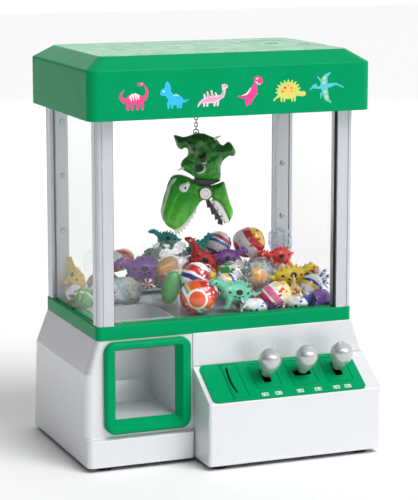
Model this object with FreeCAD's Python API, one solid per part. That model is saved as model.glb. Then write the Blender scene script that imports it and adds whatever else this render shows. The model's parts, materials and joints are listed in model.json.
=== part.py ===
import FreeCAD, Part
import math
import os

# Desktop claw crane machine. Millimetres. X right, Y back, Z up.
# The origin is the centre of the overall box, on the surface that the feet stand on.

V = FreeCAD.Vector
X_AXIS = V(1, 0, 0)
Y_AXIS = V(0, 1, 0)
Z_AXIS = V(0, 0, 1)

# ---------------------------------------------------------------- driving dimensions
HEIGHT = 368.0
WALL = 2.5
FOOT_HEIGHT = 4.0
FOOT_RADIUS = 8.5

# base housing: a drafted box with a sloped shoulder under the green frame
BASE_HALF_FOOT = 135.75
BASE_HALF_SHOULDER = 134.35
BASE_HALF_TOP = 124.0
BASE_FRONT = -59.6
BASE_BACK_FOOT = 101.0
BASE_BACK_SHOULDER = 96.6
BASE_BACK_TOP = 91.2
SHOULDER_Z = 87.0
BASE_TOP_Z = 117.5
PLINTH_FRONT = -67.7
PLINTH_TOP_Z = 28.4
PLATE_T = 2.5
PLATE_INSET = 2.8
# (x, y) of the screws and feet under the base
BASE_SCREWS = ((-70, -30), (8, -30), (-70, 84), (104, 70), (110, -30), (50, -88))
FEET = ((-117, -55), (-20, -88), (118, -88), (-117, 86), (118, 86))
# x and y edges of the battery door, and the bay's three cells
BATTERY_HATCH = (14.0, 88.0, -6.0, 84.0)
CELL_RADIUS = 13.1
CELL_LENGTH = 50.0
CELL_PITCH = 28.0
SPEAKER = (-80.0, 55.0)
SWITCH_X = -100.0
SWITCH_Z = (47.0, 53.0)
SWITCH_TRAVEL = 4.0

# console with the sloped control plate
CONSOLE_LEFT = -33.7
CONSOLE_RIGHT = 135.3
CONSOLE_FRONT = -101.0
CONSOLE_FRONT_Z = 60.8
CONSOLE_BACK_Z = 87.0
SLOPE_RUN = BASE_FRONT - CONSOLE_FRONT
SLOPE_RISE = CONSOLE_BACK_Z - CONSOLE_FRONT_Z
SLOPE_ANGLE = math.degrees(math.atan2(SLOPE_RISE, SLOPE_RUN))
PLATE_PROUD = 1.2
PLATE_X = (-29.0, 121.0)
PLATE_S = (1.5, 48.0)
STICK_X = (29.6, 65.8, 100.6)
STICK_S = 21.0
STICK_PIVOT_DEPTH = 14.0
SLOT_LONG = 16.8
SLOT_WIDE = 7.6
LEVER_RADIUS = 3.0
LEVER_AXLE_RADIUS = 2.0
LEVER_AXLE_HALF = 14.5
# the opening between the base and the console
CONSOLE_WAY = (-20.0, 126.0)
# radius and height of a knob's outline above its underside
KNOB_BASE = 4.6
KNOB_PROFILE = ((5.0, 0.0), (6.6, 4.5), (9.6, 12.0), (10.4, 17.5), (7.6, 24.2))
KNOB_TOP = 26.4

# green frame, cabin and posts
FRAME_TOP_Z = 130.1
FRAME_SKIN = 2.5
FLOOR_TOP_Z = FRAME_TOP_Z - FRAME_SKIN
CABIN_HALF = 110.0
CABIN_FRONT = -46.5
CABIN_BACK = 74.0
POST_OUT = 123.0
POST_IN = 108.0
POST_FRONT = (-60.1, -46.7)
POST_BACK = (74.2, 90.0)
POST_BEAD = 4.0
CEILING_Z = 314.6
WINDOW_T = 1.4
WINDOW_FRONT_Y = -56.3
WINDOW_BACK_Y = 84.7
WINDOW_SIDE_X = 119.4
RETAINER_SCREW_X = 112.0
RETAINER_SCREW_Z = (195.0, 246.8, 297.0)
RETAINER_T = 1.6

# roof
ROOF_HALF = 133.75
ROOF_FRONT = -74.7
ROOF_BACK = 99.4
EAVE_Z = 313.6
ROOF_BEVEL_Z = 356.9
ROOF_BEVEL_IN = 16.4
ROOF_EDGE_R = 2.5
HATCH_X = (58.0, 116.0)
HATCH_Y = (-14.0, 50.0)
HATCH_PIN_Z = HEIGHT - 1.9
HATCH_PIN_RADIUS = 1.0
HATCH_PIN_END = 3.4

# prize door and chute
DOOR_OUT = (-118.2, -36.6, 31.8, 116.0)
DOOR_FLARE = (-110.0, -45.0, 37.3, 110.6)
DOOR_HOLE = (-105.8, -50.5, 45.0, 106.5)
DOOR_FRONT = -66.0
CHUTE_X = (-107.5, -48.0)
CHUTE_BACK = 15.0
CHUTE_FLOOR_Z = 43.0
CHUTE_RIM_Z = 131.0
CHUTE_WALL = 2.0
GUARD_TOP_Z = 187.0
GUARD_T = 1.6
GUARD_GAP = 3.2

# crane: bridge along Y, trolley along X, claw on its chain
CRANE_X = -2.0
CRANE_Y = 12.0
GEAR_MODULE = 1.25
GEAR_TEETH = 12
GEAR_RADIUS = GEAR_MODULE * GEAR_TEETH / 2
GEAR_ADD = 1.0
GEAR_DED = 1.4
TOOTH_PITCH = math.pi * GEAR_MODULE
RAIL_Z = 318.6
RAIL_RACK_Z = 323.5
RAIL_Y = (-52.0, 84.0)
RAIL_FOOT_X = (107.5, 120.0)
RAIL_RIB_X = (109.0, 112.0)
RAIL_RIB_TOP_Z = 325.0
RACK_X = (115.0, 120.0)
SHAFT_Z = RAIL_RACK_Z + GEAR_RADIUS
SHAFT_DY = 21.0
BEAM_DY = (13.0, 17.0)
BEAM_Z = 327.0
BEAM_GROOVE_Z = (331.0, 334.0)
BEAM_RACK_Z = 337.5
BEAM_TOP_Z = 338.0
BEAM_HALF = 106.0
SHOE_X = (106.0, 114.5)
SHAFT_RADIUS = 2.0
SHAFT_HALF = 119.8
TROLLEY_GEAR_DX = -11.0
TROLLEY_GEAR_Z = BEAM_RACK_Z + GEAR_RADIUS
DRUM_DX = 9.3
DRUM_Z = 341.0
PINION_SHAFT_RADIUS = 1.5
TROLLEY_HALF_Y = 12.8
TROLLEY_FLOOR_Z = (328.0, 330.5)
TROLLEY_TOP_Z = 350.0
RUN_FIT = 0.05

# claw, drawn in its own plane: u to the right, z up, w through its thickness
CLAW_YAW = -21.76
PIVOT_U = 8.7
PIVOT_Z = 234.2
PIVOT_R = 2.0
LUG_R = 7.0
CHAIN_TOP_Z = 349.0
RING_Z = 289.6
LINK_PITCH = 3.1


# ---------------------------------------------------------------- helpers
def box(x0, x1, y0, y1, z0, z1):
    return Part.makeBox(x1 - x0, y1 - y0, z1 - z0, V(x0, y0, z0))


def rod(x, y, z, axis, radius, length):
    return Part.makeCylinder(radius, length, V(x, y, z), axis)


def fuse(shapes):
    joined = shapes[0]
    if len(shapes) > 1:
        joined = shapes[0].multiFuse(shapes[1:])
    return joined.removeSplitter()


def cut(shape, tools):
    return shape.cut(Part.makeCompound(tools))


def round_rect(x0, x1, y0, y1, z, r):
    """A closed wire at height z: four sides joined by quarter arcs."""
    edges = []
    k = r * math.cos(math.radians(45))
    corners = ((x1 - r, y0 + r, 1, -1), (x1 - r, y1 - r, 1, 1),
               (x0 + r, y1 - r, -1, 1), (x0 + r, y0 + r, -1, -1))
    ends = []
    for cx, cy, sx, sy in corners:
        side = V(cx + sx * r, cy, z)
        cap = V(cx, cy + sy * r, z)
        mid = V(cx + sx * k, cy + sy * k, z)
        first, last = (cap, side) if sx * sy < 0 else (side, cap)
        ends.append((first, mid, last))
    for i, (first, mid, last) in enumerate(ends):
        edges.append(Part.Arc(first, mid, last).toShape())
        following = ends[(i + 1) % 4][0]
        edges.append(Part.LineSegment(last, following).toShape())
    return Part.Wire(edges)


def round_loft(levels):
    """A solid through rounded rectangles given as (x0, x1, y0, y1, z, r)."""
    return Part.makeLoft([round_rect(*level) for level in levels], True, True)


def prism(points, direction):
    """A flat outline of 3-D points pushed along a vector."""
    return Part.Face(Part.makePolygon(points + [points[0]])).extrude(direction)


def side_prism(points, x0, x1):
    """An outline of (y, z) points pushed along X."""
    return prism([V(x0, y, z) for y, z in points], V(x1 - x0, 0, 0))


def mirrored(shape):
    return shape.mirror(V(0, 0, 0), X_AXIS)


def facing_front(shape):
    """Turn a shape drawn as (x, z, depth) so that its depth runs towards -Y."""
    turned = shape.copy()
    turned.rotate(V(0, 0, 0), X_AXIS, 90)
    return turned


def on_slope(shape):
    """Put a shape drawn in (x, -s, n) on the console's slope."""
    placed = shape.copy()
    placed.rotate(V(0, 0, 0), X_AXIS, SLOPE_ANGLE)
    placed.translate(V(0, BASE_FRONT, CONSOLE_BACK_Z))
    return placed


def on_claw(shape):
    """Put a shape drawn in (u, w, z) about the chain's line into the cabin."""
    placed = shape.copy()
    placed.rotate(V(0, 0, 0), Z_AXIS, CLAW_YAW)
    placed.translate(V(CRANE_X, CRANE_Y, 0))
    return placed


def claw_plate(points, w0, w1):
    """An outline of (u, z) points as a plate from w0 to w1."""
    return prism([V(u, w0, z) for u, z in points], V(0, w1 - w0, 0))


def gear(x, y, z, axis, width):
    """A straight-toothed gear with its face centred on a point, one tooth pointing down."""
    half = TOOTH_PITCH * 0.38 / 2
    root = GEAR_RADIUS - GEAR_DED
    tip = GEAR_RADIUS + GEAR_ADD
    along_x = axis.x > 0.5
    start = V(x - width / 2, y, z) if along_x else V(x, y - width / 2, z)
    parts = [Part.makeCylinder(root, width, start, axis)]
    for i in range(GEAR_TEETH):
        outline = [(-half - 0.45, root - 0.6), (half + 0.45, root - 0.6),
                   (half - 0.3, tip), (-half + 0.3, tip)]
        if along_x:
            tooth = prism([start + V(0, a, -b) for a, b in outline], V(width, 0, 0))
        else:
            tooth = prism([start + V(a, 0, -b) for a, b in outline], V(0, width, 0))
        tooth.rotate(start, axis, 360 / GEAR_TEETH * i)
        parts.append(tooth)
    return fuse(parts)


def rack_outline(start, end, gap, pitch_z, base_z):
    """(distance, z) points of a rack whose gap is centred on a given distance."""
    half = TOOTH_PITCH * 0.38 / 2
    low = pitch_z - GEAR_DED
    high = pitch_z + GEAR_ADD
    first = math.ceil((start - gap) / TOOTH_PITCH - 0.5) + 1
    last = math.floor((end - gap) / TOOTH_PITCH - 0.5) - 1
    points = [(start, base_z), (start, low)]
    for i in range(first, last + 1):
        centre = gap + (i + 0.5) * TOOTH_PITCH
        points += [(centre - half - 0.4, low), (centre - half + 0.35, high),
                   (centre + half - 0.35, high), (centre + half + 0.4, low)]
    return points + [(end, low), (end, base_z)]


nodes = {}


# ---------------------------------------------------------------- base
def base_levels(inset, z0, z1):
    return [(-BASE_HALF_FOOT + inset, BASE_HALF_FOOT - inset, BASE_FRONT + inset,
             BASE_BACK_FOOT - inset, z0, 7 - inset),
            (-BASE_HALF_SHOULDER + inset, BASE_HALF_SHOULDER - inset, BASE_FRONT + inset,
             BASE_BACK_SHOULDER - inset, SHOULDER_Z, 7 - inset),
            (-BASE_HALF_TOP + inset, BASE_HALF_TOP - inset, BASE_FRONT + inset,
             BASE_BACK_TOP - inset, z1, 5 - inset)]


def base_housing():
    shell = round_loft(base_levels(0, FOOT_HEIGHT, BASE_TOP_Z))
    plinth = round_loft([(-BASE_HALF_FOOT, CONSOLE_LEFT - 0.2, PLINTH_FRONT, BASE_FRONT + 12,
                          z, 5) for z in (FOOT_HEIGHT, PLINTH_TOP_Z)])
    plinth_room = box(-BASE_HALF_FOOT + WALL, CONSOLE_LEFT - 0.2 - WALL, PLINTH_FRONT + WALL,
                      BASE_FRONT + 12, FOOT_HEIGHT - 1, PLINTH_TOP_Z - WALL)
    # the panel over the console stands a little proud of the prize-door bay
    panel = prism([V(x, BASE_FRONT - 1.0, z) for x, z in
                   ((CONSOLE_LEFT, CONSOLE_BACK_Z), (BASE_HALF_SHOULDER - 1, CONSOLE_BACK_Z),
                    (BASE_HALF_TOP - 1, BASE_TOP_Z), (CONSOLE_LEFT, BASE_TOP_Z))], V(0, 2, 0))
    room = round_loft(base_levels(WALL, FOOT_HEIGHT - 1, BASE_TOP_Z + 1))
    door = box(DOOR_FLARE[0] - 0.2, DOOR_FLARE[1] - 1.3, BASE_FRONT - 1, BASE_FRONT + 4,
               DOOR_FLARE[2] + 3.2, DOOR_FLARE[3] + 0.4)
    console_way = box(CONSOLE_WAY[0], CONSOLE_WAY[1], BASE_FRONT - 1, BASE_FRONT + 4,
                      FOOT_HEIGHT - 1, CONSOLE_BACK_Z - 3)
    switch = box(SWITCH_X - 3, SWITCH_X + 3 + SWITCH_TRAVEL, BASE_BACK_FOOT - 8, BASE_BACK_FOOT + 1,
                 SWITCH_Z[0], SWITCH_Z[1])
    return cut(fuse([shell, plinth, panel]), [room, plinth_room, door, console_way, switch])


def base_plate():
    z0 = FOOT_HEIGHT
    z1 = FOOT_HEIGHT + PLATE_T
    gap = PLATE_INSET
    main = round_loft([(-BASE_HALF_FOOT + gap, BASE_HALF_FOOT - gap, BASE_FRONT + gap,
                        BASE_BACK_FOOT - gap, z, 4.6) for z in (z0, z1)])
    plinth = box(-BASE_HALF_FOOT + gap, CONSOLE_LEFT - 3, PLINTH_FRONT + gap, BASE_FRONT + 3, z0, z1)
    console = box(CONSOLE_LEFT + gap, CONSOLE_RIGHT - gap, CONSOLE_FRONT + gap, BASE_FRONT + 3, z0, z1)
    # the housings' walls pass down beside the plate here
    walls = [box(CONSOLE_LEFT - 3, CONSOLE_WAY[0] + 0.3, BASE_FRONT - 0.3, BASE_FRONT + 3.2,
                 z0 - 1, z1 + 1),
             box(CONSOLE_WAY[1] - 0.3, BASE_HALF_FOOT, BASE_FRONT - 0.3, BASE_FRONT + 3.2,
                 z0 - 1, z1 + 1)]
    tools = [rod(x, y, z0 - 1, Z_AXIS, 1.6, 5) for x, y in BASE_SCREWS]
    tools.append(box(BATTERY_HATCH[0], BATTERY_HATCH[1], BATTERY_HATCH[2], BATTERY_HATCH[3],
                     z0 - 1, z1 + 1))
    tools += [box(SPEAKER[0] - 14, SPEAKER[0] + 14, SPEAKER[1] + d - 1, SPEAKER[1] + d + 1,
                  z0 - 1, z1 + 1) for d in (-12, -8, -4, 0, 4, 8, 12)]
    return cut(fuse([main, plinth, console]), walls + tools)


def base_screws():
    screws = []
    for x, y in BASE_SCREWS:
        head = rod(x, y, 2.6, Z_AXIS, 3.0, 1.4)
        shank = rod(x, y, 4.0, Z_AXIS, 1.5, 8.0)
        screws.append(head.fuse(shank))
    return Part.makeCompound(screws)


def feet():
    pads = []
    for x, y in FEET:
        pad = rod(x, y, 0, Z_AXIS, FOOT_RADIUS, FOOT_HEIGHT)
        pads.append(pad.makeFillet(1.2, [pad.Edges[2]]))
    return Part.makeCompound(pads)


def battery_cover():
    x0, x1, y0, y1 = BATTERY_HATCH
    lid = box(x0 + 0.3, x1 - 0.3, y0 + 0.3, y1 - 0.3, 4.2, 6.5)
    grip = [box(44 + d, 45.4 + d, y0 + 4, y0 + 16, 3.6, 4.9) for d in range(0, 16, 4)]
    return cut(lid, grip)


def batteries():
    x = BATTERY_HATCH[0] + 10
    y = BATTERY_HATCH[2] + 16
    z = FOOT_HEIGHT + PLATE_T + CELL_RADIUS + 0.6
    return Part.makeCompound([cell(x, y + CELL_PITCH * i, z) for i in range(3)])


def cell(x, y, z):
    can = rod(x, y, z, X_AXIS, CELL_RADIUS, CELL_LENGTH - 2)
    stud = rod(x + CELL_LENGTH - 2, y, z, X_AXIS, 3.5, 2)
    return can.fuse(stud)


def circuit_board():
    board = box(10, 100, -20, 40, 92, 93.6)
    chips = [box(30, 50, -5, 15, 93.6, 96), box(65, 80, 0, 12, 93.6, 97),
             box(20, 34, 24, 32, 93.6, 101)]
    return fuse([board] + chips)


def speaker():
    x, y = SPEAKER
    rim = rod(x, y, 6.5, Z_AXIS, 20, 3)
    cone = Part.makeCone(17, 9, 8, V(x, y, 9.5), Z_AXIS)
    magnet = rod(x, y, 17.5, Z_AXIS, 11, 6)
    return fuse([rim, cone, magnet])


# ---------------------------------------------------------------- console
def console_housing():
    outline = [(CONSOLE_FRONT, FOOT_HEIGHT), (CONSOLE_FRONT, CONSOLE_FRONT_Z),
               (BASE_FRONT, CONSOLE_BACK_Z), (BASE_FRONT, FOOT_HEIGHT)]
    body = side_prism(outline, CONSOLE_LEFT, CONSOLE_RIGHT)
    tall = CONSOLE_FRONT_Z - FOOT_HEIGHT
    upright = [e for e in body.Edges if abs(e.BoundBox.ZLength - tall) < 0.1
               and e.BoundBox.YMax < CONSOLE_FRONT + 1]
    body = body.makeFillet(3.0, upright)
    angle = math.radians(SLOPE_ANGLE)
    drop = WALL / math.cos(angle)
    inner = [(CONSOLE_FRONT + WALL, FOOT_HEIGHT - 1),
             (CONSOLE_FRONT + WALL, CONSOLE_FRONT_Z - drop + WALL * math.tan(angle)),
             (BASE_FRONT + 1, CONSOLE_BACK_Z - drop + 0.6), (BASE_FRONT + 1, FOOT_HEIGHT - 1)]
    room = side_prism(inner, CONSOLE_LEFT + WALL, CONSOLE_RIGHT - WALL)
    window = on_slope(box(PLATE_X[0] + 3, PLATE_X[1] - 3, -PLATE_S[1] + 3, -PLATE_S[0] - 3, -8, 3))
    return cut(body, [room, window])


def stick_slot(index, grow):
    """Clear room around a lever where it passes through the plate."""
    x = STICK_X[index]
    half_x = SLOT_LONG / 2 if index == 1 else SLOT_WIDE / 2
    half_s = SLOT_WIDE / 2 if index == 1 else SLOT_LONG / 2
    return (x - half_x - grow, x + half_x + grow, -STICK_S - half_s - grow, -STICK_S + half_s + grow)


def coin_slot(x, n0, n1):
    """A crescent slot: two arcs side by side, bowed to the left."""
    wide = 2.2
    bow = 1.7
    top = -6.6
    end = -38.0
    mid = (top + end) / 2
    outer = Part.Arc(V(x, top, n0), V(x - bow, mid, n0), V(x, end, n0)).toShape()
    inner = Part.Arc(V(x + wide, end, n0), V(x + wide - bow, mid, n0), V(x + wide, top, n0)).toShape()
    ends = [Part.LineSegment(V(x, end, n0), V(x + wide, end, n0)).toShape(),
            Part.LineSegment(V(x + wide, top, n0), V(x, top, n0)).toShape()]
    return Part.Face(Part.Wire([outer, ends[0], inner, ends[1]])).extrude(V(0, 0, n1 - n0))


def control_plate():
    skin = round_loft([(PLATE_X[0], PLATE_X[1], -PLATE_S[1], -PLATE_S[0], n, 5)
                       for n in (0.0, PLATE_PROUD)])
    lip = box(PLATE_X[0] + 3.1, PLATE_X[1] - 3.1, -PLATE_S[1] + 3.1, -PLATE_S[0] - 3.1, -1.3, 0)
    raised = []
    for x in STICK_X:
        rim = round_loft([(x - 12.8, x + 12.8, -36.6, -5.0, n, 3)
                          for n in (PLATE_PROUD, PLATE_PROUD + 0.6)])
        middle = round_loft([(x - 11.8, x + 11.8, -35.6, -6.0, n, 2.2)
                             for n in (PLATE_PROUD, PLATE_PROUD + 0.7)])
        raised.append(rim.cut(middle))
    rim = round_loft([(-7.6, 7.0, -45.0, -2.6, n, 1.5) for n in (PLATE_PROUD, PLATE_PROUD + 0.5)])
    middle = round_loft([(-6.8, 6.2, -44.2, -3.4, n, 1.0) for n in (PLATE_PROUD, PLATE_PROUD + 0.6)])
    raised.append(rim.cut(middle))
    groove = box(-10.0, -9.2, -PLATE_S[1] + 1.6, -PLATE_S[0] - 0.6, PLATE_PROUD - 0.6, 3)
    tools = [coin_slot(-4.7, -3, 4), groove]
    for i in range(3):
        x0, x1, y0, y1 = stick_slot(i, 0)
        tools.append(round_loft([(x0, x1, y0, y1, n, 2) for n in (-3, 4)]))
    return on_slope(cut(fuse([skin, lip] + raised), tools))


def joystick_housings():
    cups = []
    for i, x in enumerate(STICK_X):
        cup = box(x - 15, x + 15, -STICK_S - 15, -STICK_S + 15, -26, -2.6)
        hollow = box(x - 13, x + 13, -STICK_S - 13, -STICK_S + 13, -24, -2)
        if i == 1:
            bearing = rod(x, -STICK_S - 16, -STICK_PIVOT_DEPTH, Y_AXIS, LEVER_AXLE_RADIUS + RUN_FIT, 32)
        else:
            bearing = rod(x - 16, -STICK_S, -STICK_PIVOT_DEPTH, X_AXIS, LEVER_AXLE_RADIUS + RUN_FIT, 32)
        cups.append(cut(cup, [hollow, bearing]))
    return on_slope(Part.makeCompound(cups))


def lever(index):
    x = STICK_X[index]
    stem = rod(x, -STICK_S, -20, Z_AXIS, LEVER_RADIUS, 32)
    boss = Part.makeSphere(5.0, V(x, -STICK_S, -STICK_PIVOT_DEPTH))
    half = LEVER_AXLE_HALF
    if index == 1:
        axle = rod(x, -STICK_S - half, -STICK_PIVOT_DEPTH, Y_AXIS, LEVER_AXLE_RADIUS, 2 * half)
    else:
        axle = rod(x - half, -STICK_S, -STICK_PIVOT_DEPTH, X_AXIS, LEVER_AXLE_RADIUS, 2 * half)
    return on_slope(fuse([stem, boss, axle]))


def knob(index):
    """A pear shape turned about the lever, with a blind bore for the lever's end."""
    points = [V(r, 0, KNOB_BASE + h) for r, h in KNOB_PROFILE] + [V(0, 0, KNOB_BASE + KNOB_TOP)]
    curve = Part.BSplineCurve()
    curve.interpolate(Points=points, InitialTangent=V(0.2, 0, 1), FinalTangent=V(-1, 0, 0))
    base = Part.LineSegment(V(0, 0, KNOB_BASE), points[0]).toShape()
    axis = Part.LineSegment(points[-1], V(0, 0, KNOB_BASE)).toShape()
    pear = Part.Face(Part.Wire([base, curve.toShape(), axis])).revolve(V(0, 0, 0), Z_AXIS, 360)
    pear.translate(V(STICK_X[index], -STICK_S, 0))
    bore = rod(STICK_X[index], -STICK_S, 0, Z_AXIS, LEVER_RADIUS, 12)
    return on_slope(pear.cut(bore))


def coin_chute():
    """A channel under the coin slot, open at both ends, with a window for the lever."""
    outer = box(-10.4, 0.6, -41, -4, -30, -2.6)
    inner = box(-8.4, -1.4, -39, -6, -31, -2)
    bearing = rod(-11, -22, -14, X_AXIS, 1.0 + RUN_FIT, 12.5)
    return on_slope(cut(outer, [inner, bearing]))


def coin_lever():
    axle = rod(-10.3, -22, -14, X_AXIS, 1.0, 10.8)
    arm = box(-6.4, -3.4, -34, -21, -14.6, -13.4)
    hub = rod(-6.4, -22, -14, X_AXIS, 2.2, 3.0)
    return on_slope(fuse([axle, arm, hub]))


# ---------------------------------------------------------------- frame, floor, chute, door
def ring_slots(z0, z1, clear):
    """Grooves that hold the edges of the four windows."""
    t = WINDOW_T / 2 + clear
    reach = POST_IN + 3.7
    slots = [box(-reach, reach, y - t, y + t, z0, z1) for y in (WINDOW_FRONT_Y, WINDOW_BACK_Y)]
    slots += [box(x - t, x + t, POST_FRONT[1] - 3.7, POST_BACK[0] + 3.7, z0, z1)
              for x in (-WINDOW_SIDE_X, WINDOW_SIDE_X)]
    return slots


def base_frame():
    outer = round_loft([(-BASE_HALF_TOP, BASE_HALF_TOP, -60.1, BASE_BACK_TOP, BASE_TOP_Z, 5),
                        (-BASE_HALF_TOP, BASE_HALF_TOP, -60.1, BASE_BACK_TOP, FRAME_TOP_Z - 0.8, 5),
                        (-BASE_HALF_TOP + 0.8, BASE_HALF_TOP - 0.8, -59.3, BASE_BACK_TOP - 0.8,
                         FRAME_TOP_Z, 4.2)])
    under = round_loft([(-BASE_HALF_TOP + 2.5, BASE_HALF_TOP - 2.5, -57.6, BASE_BACK_TOP - 2.5, z, 2.5)
                        for z in (BASE_TOP_Z - 1, FLOOR_TOP_Z)])
    middle = round_loft([(-CABIN_HALF, CABIN_HALF, CABIN_FRONT, CABIN_BACK, z, 1)
                         for z in (FLOOR_TOP_Z - 1, FRAME_TOP_Z + 1)])
    return cut(outer, [under, middle] + ring_slots(FRAME_TOP_Z - 1.5, FRAME_TOP_Z + 1, 0.1))


def cabin_floor():
    plate = round_loft([(-BASE_HALF_TOP + 2.7, BASE_HALF_TOP - 2.7, -57.4, BASE_BACK_TOP - 2.7, z, 2.6)
                        for z in (FLOOR_TOP_Z - 2.5, FLOOR_TOP_Z)])
    w = CHUTE_WALL + 0.2
    hole = box(CHUTE_X[0] - w, CHUTE_X[1] + w, CABIN_FRONT + 0.3, CHUTE_BACK + w, 120, 135)
    return plate.cut(hole)


def prize_chute():
    x0, x1 = CHUTE_X
    w = CHUTE_WALL
    shaft = box(x0 - w, x1 + w, CABIN_FRONT + 0.5, CHUTE_BACK + w, CHUTE_FLOOR_Z - w, CHUTE_RIM_Z)
    mouth = box(x0 - w, x1 + w, BASE_FRONT + 2.5, CABIN_FRONT + 0.5, CHUTE_FLOOR_Z - w, 110.4)
    well = box(x0, x1, CABIN_FRONT + 0.5 + w, CHUTE_BACK, CHUTE_FLOOR_Z, CHUTE_RIM_Z + 1)
    way_out = box(x0, x1, BASE_FRONT + 2, CABIN_FRONT + 3, CHUTE_FLOOR_Z, 108.4)
    ramp = side_prism([(CHUTE_BACK, 60.0), (CHUTE_BACK, CHUTE_FLOOR_Z), (3.4, CHUTE_FLOOR_Z)], x0, x1)
    return fuse([cut(fuse([shaft, mouth]), [well, way_out]), ramp])


def prize_door_frame():
    x0, x1, z0, z1 = DOOR_OUT
    plate = round_loft([(x0 + inset, x1 - inset, z0 + inset, z1 - inset, depth, 10 - inset)
                        for inset, depth in ((0, -BASE_FRONT), (0, -DOOR_FRONT - 2.6),
                                             (0.8, -DOOR_FRONT - 0.9), (2.6, -DOOR_FRONT))])
    collar = round_loft([(DOOR_FLARE[0], DOOR_FLARE[1] - 1.5, DOOR_FLARE[2] + 3.4, DOOR_FLARE[3],
                          depth, 1) for depth in (-BASE_FRONT - 2.4, -BASE_FRONT)])
    hole_back = (DOOR_HOLE[0], DOOR_HOLE[1], DOOR_HOLE[2], DOOR_HOLE[3], -BASE_FRONT - 3.5, 0.6)
    hole_front = (DOOR_FLARE[0], DOOR_FLARE[1], DOOR_FLARE[2], DOOR_FLARE[3], -DOOR_FRONT + 0.2, 3.0)
    return facing_front(cut(fuse([plate, collar]), [round_loft([hole_back, hole_front])]))


def chute_guard():
    """A clear L-shaped fence round the mouth of the chute."""
    back_y = CHUTE_BACK + GUARD_GAP
    side_x = CHUTE_X[1] + GUARD_GAP
    back = box(-CABIN_HALF + 0.5, side_x + GUARD_T, back_y, back_y + GUARD_T, FLOOR_TOP_Z, GUARD_TOP_Z)
    corner = [e for e in back.Edges if e.BoundBox.ZMin > GUARD_TOP_Z - 0.1
              and e.BoundBox.XMax < -CABIN_HALF + 1 and e.BoundBox.XLength < 0.01]
    back = back.makeFillet(12, corner)
    side = box(side_x, side_x + GUARD_T, CABIN_FRONT - 6.5, back_y, FRAME_TOP_Z + 0.1, GUARD_TOP_Z)
    foot = box(side_x, side_x + GUARD_T, CABIN_FRONT + 0.3, back_y, FLOOR_TOP_Z, FRAME_TOP_Z + 0.1)
    return fuse([back, side, foot])


# ---------------------------------------------------------------- posts, windows, retainers
def corner_post(front):
    """The right-hand post: a square column with a corner bead and a groove each side of it."""
    y0, y1 = POST_FRONT if front else POST_BACK
    column = box(POST_IN, POST_OUT, y0, y1, FRAME_TOP_Z, CEILING_Z)
    face_y = y0 if front else y1
    edge = [e for e in column.Edges if e.BoundBox.ZLength > 100 and e.BoundBox.XMin > POST_OUT - 0.1
            and abs(e.BoundBox.YMin - face_y) < 0.1]
    column = column.makeFillet(POST_BEAD, edge)
    inward = 1 if front else -1
    groove_y = face_y + inward * (POST_BEAD + 0.5)
    grooves = [box(POST_OUT - POST_BEAD - 1.2, POST_OUT - POST_BEAD, face_y - 0.8, face_y + 0.8,
                   FRAME_TOP_Z - 1, CEILING_Z + 1),
               box(POST_OUT - 0.8, POST_OUT + 0.8, groove_y - 0.6, groove_y + 0.6,
                   FRAME_TOP_Z - 1, CEILING_Z + 1)]
    edge_groove = box(POST_IN - 1, POST_IN + 0.7, face_y + inward * 1.2 - 0.4,
                      face_y + inward * 1.2 + 0.4, FRAME_TOP_Z - 1, CEILING_Z + 1)
    post = cut(column, grooves + [edge_groove] + ring_slots(FRAME_TOP_Z - 1, CEILING_Z + 1, 0.1))
    if not front:
        post = cut(post, [rod(RETAINER_SCREW_X, POST_BACK[0] - 1, z, Y_AXIS, 1.25, 8)
                          for z in RETAINER_SCREW_Z])
    return post


def panel_retainer():
    y = POST_BACK[0]
    strip = box(POST_IN - 1.5, WINDOW_SIDE_X - 1.0, y - RETAINER_T, y, FRAME_TOP_Z + 0.2, CEILING_Z - 0.2)
    bend = box(POST_IN - 1.5, POST_IN - 0.1, y, y + 8, FRAME_TOP_Z + 0.2, CEILING_Z - 0.2)
    return cut(fuse([strip, bend]), [rod(RETAINER_SCREW_X, y - 3, z, Y_AXIS, 1.25, 8)
                                     for z in RETAINER_SCREW_Z])


def retainer_screws():
    screws = []
    for sign in (-1, 1):
        for z in RETAINER_SCREW_Z:
            x = sign * RETAINER_SCREW_X
            shank = rod(x, POST_BACK[0] - RETAINER_T, z, Y_AXIS, 1.2, 7.6)
            head = rod(x, POST_BACK[0] - RETAINER_T - 1.3, z, Y_AXIS, 2.6, 1.3)
            head = head.makeFillet(0.8, [head.Edges[2]])
            slot = box(x - 1.7, x + 1.7, POST_BACK[0] - RETAINER_T - 1.4, POST_BACK[0] - RETAINER_T - 0.8,
                       z - 0.3, z + 0.3)
            screws.append(cut(fuse([head, shank]), [slot]))
    return Part.makeCompound(screws)


def windows():
    z0 = FRAME_TOP_Z - 1.4
    z1 = CEILING_Z + 1.9
    t = WINDOW_T / 2
    reach = POST_IN + 3.5
    front = box(-reach, reach, WINDOW_FRONT_Y - t, WINDOW_FRONT_Y + t, z0, z1)
    back = box(-reach, reach, WINDOW_BACK_Y - t, WINDOW_BACK_Y + t, z0, z1)
    right = box(WINDOW_SIDE_X - t, WINDOW_SIDE_X + t, POST_FRONT[1] - 3.5, POST_BACK[0] + 3.5, z0, z1)
    return front, back, right


# ---------------------------------------------------------------- roof
def roof_levels(inset, z0, z2):
    top_in = ROOF_BEVEL_IN + inset * 0.7
    return [(-ROOF_HALF + inset, ROOF_HALF - inset, ROOF_FRONT + inset, ROOF_BACK - inset, z0, 9 - inset),
            (-ROOF_HALF + inset, ROOF_HALF - inset, ROOF_FRONT + inset, ROOF_BACK - inset,
             ROOF_BEVEL_Z - inset * 0.3, 9 - inset),
            (-ROOF_HALF + top_in, ROOF_HALF - top_in, ROOF_FRONT + top_in, ROOF_BACK - top_in, z2,
             7 - inset)]


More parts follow.
